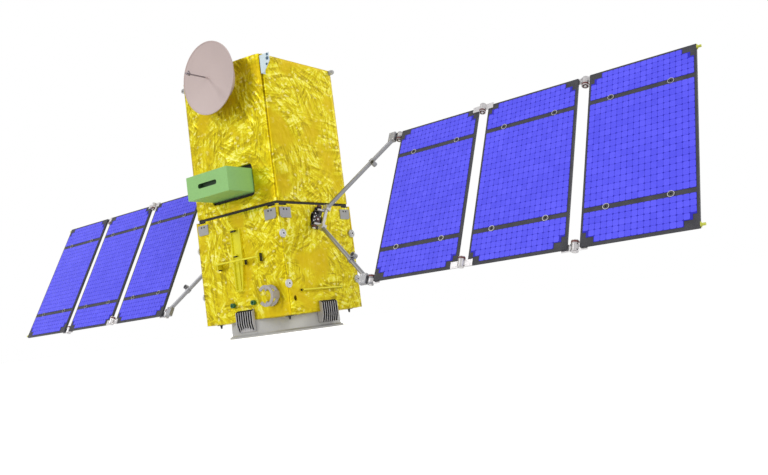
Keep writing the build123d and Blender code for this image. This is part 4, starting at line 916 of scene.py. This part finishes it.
def hinge_details(side):
    """Springs, caps, nuts and screws of one wing, gathered by the body that carries them."""
    sign = SIDES[side]
    bodies = (f"{side}_drive", f"{side}_yoke", f"{side}_wing_1", f"{side}_wing_2", f"{side}_wing_3")
    drive, yoke = bodies[:2]
    springs = {body: Bits(f"{body}_springs", "spring_red", body, "hinge_metal") for body in bodies[:4]}
    caps = {body: Bits(f"{body}_caps", "cap_white", body, "hinge_metal") for body in bodies[:4]}
    screws = {body: Bits(f"{body}_screws", "hinge_metal", body, "hinge_metal") for body in bodies}
    for number in PANELS:
        joint = JOINTS[f"{side}_panel_{number}_fold"]
        body = joint["parent"]
        pin = Vector(joint["pos_m"])
        n_side = 1 if (pin - wing_point(pin.x, 0, 0)).dot(OUT) > 0 else -1
        for end in (1, -1):
            drum_face = facing(pin + UP * end * (HINGE_CENTRE - HINGE_HALF - HINGE_DRUM), -UP * end)
            springs[body].spiral(drum_face, *SPRING_RADII, SPRING_TURNS, SPRING_THICKNESS, *SPRING_DEPTHS)
            springs[body].sleeve(drum_face, DRUM_RADIUS - SEAT, DRUM_RADIUS + BAND_RISE, *BAND_SPAN)
            caps[body].dome(drum_face, *HUB_CAP)
            caps[body].bolt(facing(pin + UP * end * (HINGE_CENTRE + HINGE_HALF), UP * end), *PIN_NUT)
            for carrier, towards in ((body, -1), (joint["child"], 1)):
                if carrier == yoke:
                    continue
                for reach in LEAF_REACHES:
                    for step in (-1, 1):
                        v = end * HINGE_CENTRE + step * LEAF_HALF_PITCH
                        x = pin.x + sign * towards * reach
                        place = wing_point(x, v, n_side * LEAF_FACE)
                        screws[carrier].dome(facing(place, OUT * n_side), *LEAF_SCREW)
    hub_x = sign * (HALF_X + CROSSBAR_FACE)
    for v, n, radius in CROSSBAR_BOLTS:
        caps[drive].bolt(facing(wing_point(hub_x, v, n), (sign, 0, 0)), radius, CROSSBAR_BOLT_HEIGHT)
    hub_face = facing(wing_point(hub_x, 0, 0), (sign, 0, 0))
    springs[drive].sleeve(hub_face, *CROSSBAR_RING, -SEAT, CROSSBAR_RING_HEIGHT)
    first_pin_x = JOINTS[f"{side}_panel_1_fold"]["pos_m"][0]
    for end in (1, -1):
        drum_face = facing(wing_point(sign * ROOT_PIN_X, end * ROOT_DRUM_END, ROOT_PIN_N), UP * end)
        band_radii = (ROOT_DRUM_RADIUS - SEAT, ROOT_DRUM_RADIUS + BAND_RISE)
        springs[drive].sleeve(drum_face, *band_radii, *ROOT_BAND_SPAN)
        caps[drive].dome(drum_face, *ROOT_CAP)
        for step in (-1, 1):
            for reach in HEAD_REACHES:
                v = end * HEAD_CENTRE + step * HEAD_HALF_PITCH
                place = wing_point(first_pin_x - sign * reach, v, HEAD_FACE)
                screws[yoke].bolt(facing(place, OUT), *HEAD_BOLT)
            for across in (-1, 1):
                x = sign * (ROOT_BLOCK_X + across * BLOCK_HALF_PITCHES[0])
                v = end * ROOT_BLOCK_V + step * BLOCK_HALF_PITCHES[1]
                screws[yoke].bolt(facing(wing_point(x, v, BLOCK_FACE), OUT), *BLOCK_BOLT)
    for gathered in (*springs.values(), *caps.values(), *screws.values()):
        if gathered.made.verts:
            gathered.close()
        else:
            gathered.made.free()


# Black sleeves in the bushings' bores and black rings round them on both faces: painted shade of the holes
# that the hold-down bolts pass through
BUSHING_INSET = 0.1665
BUSHING_FACE = 0.017
YOKE_BUSHING_FACE = 0.028
BORE_SHADE_RADII = (0.0058, 0.0079)
SHADE_RING_RADIUS = 0.0190
SHADE_RING_RISE = 0.0008


# Dark sleeves and rings that stand for the shade in the bushings' holes
def bushing_bore_shade(side):
    sign = SIDES[side]
    first_pin_x = JOINTS["right_panel_1_fold"]["pos_m"][0]
    half_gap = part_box("right_panel_1")[0].x - first_pin_x
    places = {f"{side}_yoke": [(first_pin_x - half_gap - BUSHING_INSET, YOKE_BUSHING_FACE)]}
    for number in PANELS:
        low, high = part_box(f"right_panel_{number}")
        ends = (low.x + BUSHING_INSET, high.x - BUSHING_INSET)
        places[f"{side}_wing_{number}"] = [(x, BUSHING_FACE) for x in ends]
    for body, spots in places.items():
        bore_shade = Bits(f"{body}_liners", "black_anodised", body, "hinge_metal")
        for x, face in spots:
            for v in (STRIP_V, -STRIP_V):
                bore_shade.sleeve(facing(wing_point(sign * x, v, 0), OUT), *BORE_SHADE_RADII, -BUSHING_FACE, face)
                for way, n in ((1, face), (-1, -BUSHING_FACE)):
                    at = facing(wing_point(sign * x, v, n), OUT * way)
                    bore_shade.sleeve(at, BORE_SHADE_RADII[0], SHADE_RING_RADIUS, -SEAT, SHADE_RING_RISE)
        bore_shade.close()


for side in SIDES:
    hinge_details(side)
    bushing_bore_shade(side)


# Fittings on the bus: hold-down pads and corner plates
PAD_RING = (0.0092, 0.0174)
PAD_RING_TOP = 0.0184
PAD_FACE = 0.012
PAD_PLUG = ((0, 0.004), (0.0088, 0.004), (0.0088, 0.0165), (0.0045, 0.0165), (0.0040, 0.011), (0, 0.011))
PLATE_SCREW = (0.0078, 0.0020)
PLATE_SCREW_TOP = 0.8
PLATE_SCREW_DEPTH = 0.005
PLATE_HOLE_HALF_PITCH = 0.017
PLATE_HOLE_DROP = 0.018
THIN = 0.010


def pad_details():
    """A white ring and a black socket in the middle of each hold-down pad."""
    rings = Bits("pad_rings", "cap_white", "root", "bracket_grey")
    plugs = Bits("pad_plugs", "black_anodised", "root", "bracket_grey")
    for low, high in islands("holddown_pads"):
        centre = (low + high) / 2
        sign = 1 if centre.x > 0 else -1
        at = facing((sign * HALF_X, centre.y, centre.z), (sign, 0, 0))
        rings.sleeve(at, *PAD_RING, PAD_FACE, PAD_RING_TOP)
        plugs.turned(at, PAD_PLUG)
    rings.close()
    plugs.close()


def plate_screws():
    """Dark screws in the corner plates' holes."""
    screws = Bits("plate_screws", "black_anodised", "root", "black_anodised")
    radius, height = PLATE_SCREW
    outline = [(0, -PLATE_SCREW_DEPTH), (radius, -PLATE_SCREW_DEPTH)]
    outline += [(radius, height / 2), (radius * PLATE_SCREW_TOP, height), (0, height)]
    for low, high in islands("corner_plates"):
        centre = (low + high) / 2
        on_front = high.y - low.y < THIN
        out = Vector((0, math.copysign(1, centre.y), 0) if on_front else (math.copysign(1, centre.x), 0, 0))
        along = Vector((1, 0, 0) if on_front else (0, 1, 0))
        face = max(abs(low.dot(out)), abs(high.dot(out)))
        for step in (-1, 1):
            place = centre + along * step * PLATE_HOLE_HALF_PITCH + out * (face - centre.dot(out))
            place.z = high.z - PLATE_HOLE_DROP
            screws.turned(facing(place, out), outline, 16)
    screws.close()


# Connectors on the drives' housings: shares of the radius for a wide one, for a slim one in a red seal
# and for the seal's bore, and the seal's share of the height
HOUSING_FACE = 0.032
CONNECTOR_CIRCLE = 0.066
CONNECTOR_RADIUS = 0.0078
CONNECTOR_HEIGHT = 0.013
CONNECTOR_ANGLES = (20, 62, 104, 146, 200, 242, 284, 326)
CONNECTOR_WIDE = 0.9
CONNECTOR_SLIM = 0.5
SEAL_BORE = 0.55
SEAL_HEIGHT = 0.6


def drive_connectors():
    """Rigid connectors on the drive housing's face, round the turning hub."""
    light = Bits("drive_connectors", "cap_white", "root", "hinge_metal")
    red = Bits("drive_seals", "spring_red", "root", "hinge_metal")
    for sign in SIDES.values():
        face = Vector((sign * (HALF_X - HOUSING_FACE), 0, AXIS_Z))
        for i, angle in enumerate(CONNECTOR_ANGLES):
            at = around(face, (sign, 0, 0), CONNECTOR_CIRCLE, angle)
            slim = i % 2
            if slim:
                bore = CONNECTOR_RADIUS * SEAL_BORE
                red.sleeve(at, bore, CONNECTOR_RADIUS, -SEAT, CONNECTOR_HEIGHT * SEAL_HEIGHT)
            light.bolt(at, CONNECTOR_RADIUS * (CONNECTOR_SLIM if slim else CONNECTOR_WIDE), CONNECTOR_HEIGHT)
    light.close()
    red.close()


# Black blocks beside the bars' feet and under the shelf, where these shade the wall: painted shade; lowest and
# highest corners from the wall's face
FRONT_SHADE_BLOCKS = (
    ((-0.248, -0.030, 0.597), (-0.234, 0.0, 0.607)),
    ((0.0745, -0.022, 0.608), (0.0790, 0.0, 0.650)),
    ((0.2585, -0.024, 0.612), (0.2635, 0.0, 0.680)),
    ((-0.056, -0.024, 0.903), (-0.008, 0.0, 0.9145)),
    ((-0.048, -0.020, 0.688), (-0.024, 0.0, 0.6975)),
)
SIDE_SHADE_BLOCKS = (
    ((0.0, 0.2005, 0.320), (0.020, 0.2065, 0.346)),
    ((0.0, -0.3075, 0.324), (0.014, -0.3015, 0.342)),
)


def bar_shade_blocks():
    # Dark solids standing for the shade that the feet and shelves cast on the wall
    shade_blocks = Bits("bar_shade_blocks", "black_anodised", "root", "black_anodised")
    for low, high in FRONT_SHADE_BLOCKS:
        shade_blocks.block((low[0], low[1] - HALF_Y, low[2]), (high[0], high[1] - HALF_Y, high[2]))
    for low, high in SIDE_SHADE_BLOCKS:
        shade_blocks.block((low[0] + HALF_X, low[1], low[2]), (high[0] + HALF_X, high[1], high[2]))
    shade_blocks.close()


# The umbilical bracket's C-shaped plates: radius of their band, and the bolts' and spacers' angles on it
CLASP_BAND = 0.075
CLASP_BOLTS = (-125, -95, -60, 60, 95, 125)
CLASP_SPACERS = (-100, 100)
CLASP_GAP = 0.048
CLASP_PLATE = 0.010
CLASP_BOLT = (0.0045, 0.003)
SPACER_RADIUS = 0.007


def clasp_details():
    """Bolts on the umbilical bracket's front plate and spacers between its two plates."""
    low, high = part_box("umbilical_bracket")
    centre_z = (low.z + high.z) / 2
    radius = (high.z - low.z) / 2
    front = Vector((high.x - radius, low.y, centre_z))

    def on_band(angle):
        a = math.radians(angle)
        return front + Vector((math.cos(a), 0, math.sin(a))) * CLASP_BAND

    bolts = Bits("clasp_bolts", "hinge_metal", "root", "bracket_grey")
    for angle in CLASP_BOLTS:
        bolts.bolt(facing(on_band(angle), FORWARD), *CLASP_BOLT)
    bolts.close()
    spacers = Bits("clasp_spacers", "gold_bar", "root", "gold_bar")
    back = -CLASP_GAP - SEAT
    outline = ((0, back), (SPACER_RADIUS, back), (SPACER_RADIUS, SEAT), (0, SEAT))
    for angle in CLASP_SPACERS:
        spacers.turned(facing(on_band(angle) + Vector((0, CLASP_PLATE, 0)), FORWARD), outline, 16)
    spacers.close()


# Gusset holes: shares of its reach and its length, and the radius; its bolts' depth, play, flange and top
GUSSET_HOLES = ((0.83, 0.09, 0.0077), (0.81, 0.30, 0.0119), (0.69, 0.60, 0.0070))
GUSSET_BOLT_DEPTH = 0.007
GUSSET_BOLT_PLAY = 0.0005
GUSSET_BOLT_FLANGE = 0.003
GUSSET_BOLT_TOP = (0.8, 0.0045)


def gusset_bolts():
    """Dark blue bolts through the lifting gusset."""
    low, high = max(islands("top_lugs"), key=lambda box: box[1].x - box[0].y)
    bolts = Bits("gusset_bolts", "bolt_blue", "root", "bracket_grey")
    share, top = GUSSET_BOLT_TOP
    for reach, drop, radius in GUSSET_HOLES:
        place = Vector((low.x + (high.x - low.x) * reach, low.y, high.z - (high.z - low.z) * drop))
        shank = radius - GUSSET_BOLT_PLAY
        outer = radius + GUSSET_BOLT_FLANGE
        outline = [(0, -GUSSET_BOLT_DEPTH), (shank, -GUSSET_BOLT_DEPTH), (shank, 0), (outer, 0)]
        outline += [(outer, GUSSET_BOLT_FLANGE), (outer * share, top), (0, top)]
        bolts.turned(facing(place, FORWARD), outline, 18)
    bolts.close()


# The dish's profile: distance in from its edge and height over its face; the foot's: radius and height
DISH_STEPS = 96
DISH_BACK = 0.010
DISH_RIM = (
    (0.007, -DISH_BACK), (0, -0.005), (0, 0.003), (0.001, 0.004), (0.007, 0.004), (0.008, 0.001), (0.010, 0)
)
FEED_FOOT = ((0.012, 0.0), (0.0085, 0.004), (0.0075, 0.031), (0, 0.031))


def dish():
    """The antenna's flat dish with its rim, and the feed rod's slim foot."""
    low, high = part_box("antenna_dish")
    radius = (high.x - low.x) / 2
    plane = Vector(((low.x + high.x) / 2, high.y - DISH_BACK, (low.z + high.z) / 2))
    outline = [(0, -DISH_BACK), *((radius - inset, height) for inset, height in DISH_RIM), *FEED_FOOT]
    made = Bits("dish", "antenna_paint", "root", "antenna_paint")
    made.turned(facing(plane, FORWARD), outline, DISH_STEPS)
    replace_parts(made.close(), "antenna_dish")


pad_details()
plate_screws()
drive_connectors()
bar_shade_blocks()
clasp_details()
gusset_bolts()
dish()


# Camera at floor level, at the photograph's bearing and near its roll
CAMERA_PLACE = Vector((4.905, -5.099, 0.05))
CAMERA_BEARING = math.radians(36.1)
CAMERA_RISE = math.radians(5.5)
CAMERA_ROLL = math.radians(7.5)
CAMERA_LENS = 36.8
CAMERA_SENSOR = 36.0

camera_data = bpy.data.cameras.new("camera")
camera_data.lens = CAMERA_LENS
camera_data.sensor_width = CAMERA_SENSOR
camera = bpy.data.objects.new("camera", camera_data)
bpy.context.scene.collection.objects.link(camera)
bearing = Matrix.Rotation(CAMERA_BEARING, 4, "Z")
rise = Matrix.Rotation(math.pi / 2 + CAMERA_RISE, 4, "X")
roll = Matrix.Rotation(-CAMERA_ROLL, 4, "Z")
camera.matrix_world = Matrix.Translation(CAMERA_PLACE) @ bearing @ rise @ roll
bpy.context.scene.camera = camera

# Floor and world
FLOOR_HALF = 60.0
FLOOR_COLOUR = grey(0.88)
FLOOR_GLOW = 0.5
AMBIENT = 0.62


def white_where_seen(tree, plain, white):
    """Puts a whiter shader in place of the plain one for camera, glossy and transmission rays."""
    path = tree.nodes.new("ShaderNodeLightPath")
    seen = path.outputs["Is Camera Ray"]
    for ray in ("Is Glossy Ray", "Is Transmission Ray"):
        either = tree.nodes.new("ShaderNodeMath")
        either.operation = "MAXIMUM"
        tree.links.new(seen, either.inputs[0])
        tree.links.new(path.outputs[ray], either.inputs[1])
        seen = either.outputs[0]
    mix = tree.nodes.new("ShaderNodeMixShader")
    tree.links.new(seen, mix.inputs[0])
    tree.links.new(plain, mix.inputs[1])
    tree.links.new(white, mix.inputs[2])
    return mix.outputs[0]


def white_light(tree, kind, strength):
    """A white background or glow."""
    node = tree.nodes.new(kind)
    node.inputs["Color"].default_value = grey(1)
    node.inputs["Strength"].default_value = strength
    return node.outputs[0]


floor_mesh = bpy.data.meshes.new("floor")
corners = [(x * FLOOR_HALF, y * FLOOR_HALF, 0) for x, y in ((-1, -1), (1, -1), (1, 1), (-1, 1))]
floor_mesh.from_pydata(corners, [], [(0, 1, 2, 3)])
floor = bpy.data.objects.new("floor", floor_mesh)
bpy.context.scene.collection.objects.link(floor)
floor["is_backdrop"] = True
floor_finish = bpy.data.materials.new("floor")
floor_finish.use_nodes = True
tree = floor_finish.node_tree
tree.nodes.clear()
diffuse = tree.nodes.new("ShaderNodeBsdfDiffuse")
diffuse.inputs["Color"].default_value = FLOOR_COLOUR
both = tree.nodes.new("ShaderNodeAddShader")
tree.links.new(diffuse.outputs[0], both.inputs[0])
tree.links.new(white_light(tree, "ShaderNodeEmission", FLOOR_GLOW), both.inputs[1])
output = tree.nodes.new("ShaderNodeOutputMaterial")
tree.links.new(white_where_seen(tree, diffuse.outputs[0], both.outputs[0]), output.inputs["Surface"])
floor_mesh.materials.append(floor_finish)

world = bpy.data.worlds.new("studio")
bpy.context.scene.world = world
world.use_nodes = True
tree = world.node_tree
tree.nodes.clear()
soft = white_light(tree, "ShaderNodeBackground", AMBIENT)
white = white_light(tree, "ShaderNodeBackground", 1.0)
output = tree.nodes.new("ShaderNodeOutputWorld")
tree.links.new(white_where_seen(tree, soft, white), output.inputs["Surface"])

# Lamps: name, direction they come from, strength and angle of softness
SUNS = (
    ("key", (-0.45, -0.66, 0.60), 1.02, 14.0),
    ("side", (0.86, -0.42, 0.28), 0.95, 35.0),
    ("back", (0.2, 0.9, 0.5), 0.5, 50.0),
)
for name, source, strength, softness in SUNS:
    lamp_data = bpy.data.lights.new(name, "SUN")
    lamp_data.energy = strength
    lamp_data.angle = math.radians(softness)
    lamp = bpy.data.objects.new(name, lamp_data)
    bpy.context.scene.collection.objects.link(lamp)
    lamp.matrix_world = Vector(source).to_track_quat("Z", "Y").to_matrix().to_4x4()

bpy.context.scene.view_settings.view_transform = "Standard"

corners = {"cad": [list(corner) for corner in cad_box], "visual": [list(corner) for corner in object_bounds()]}
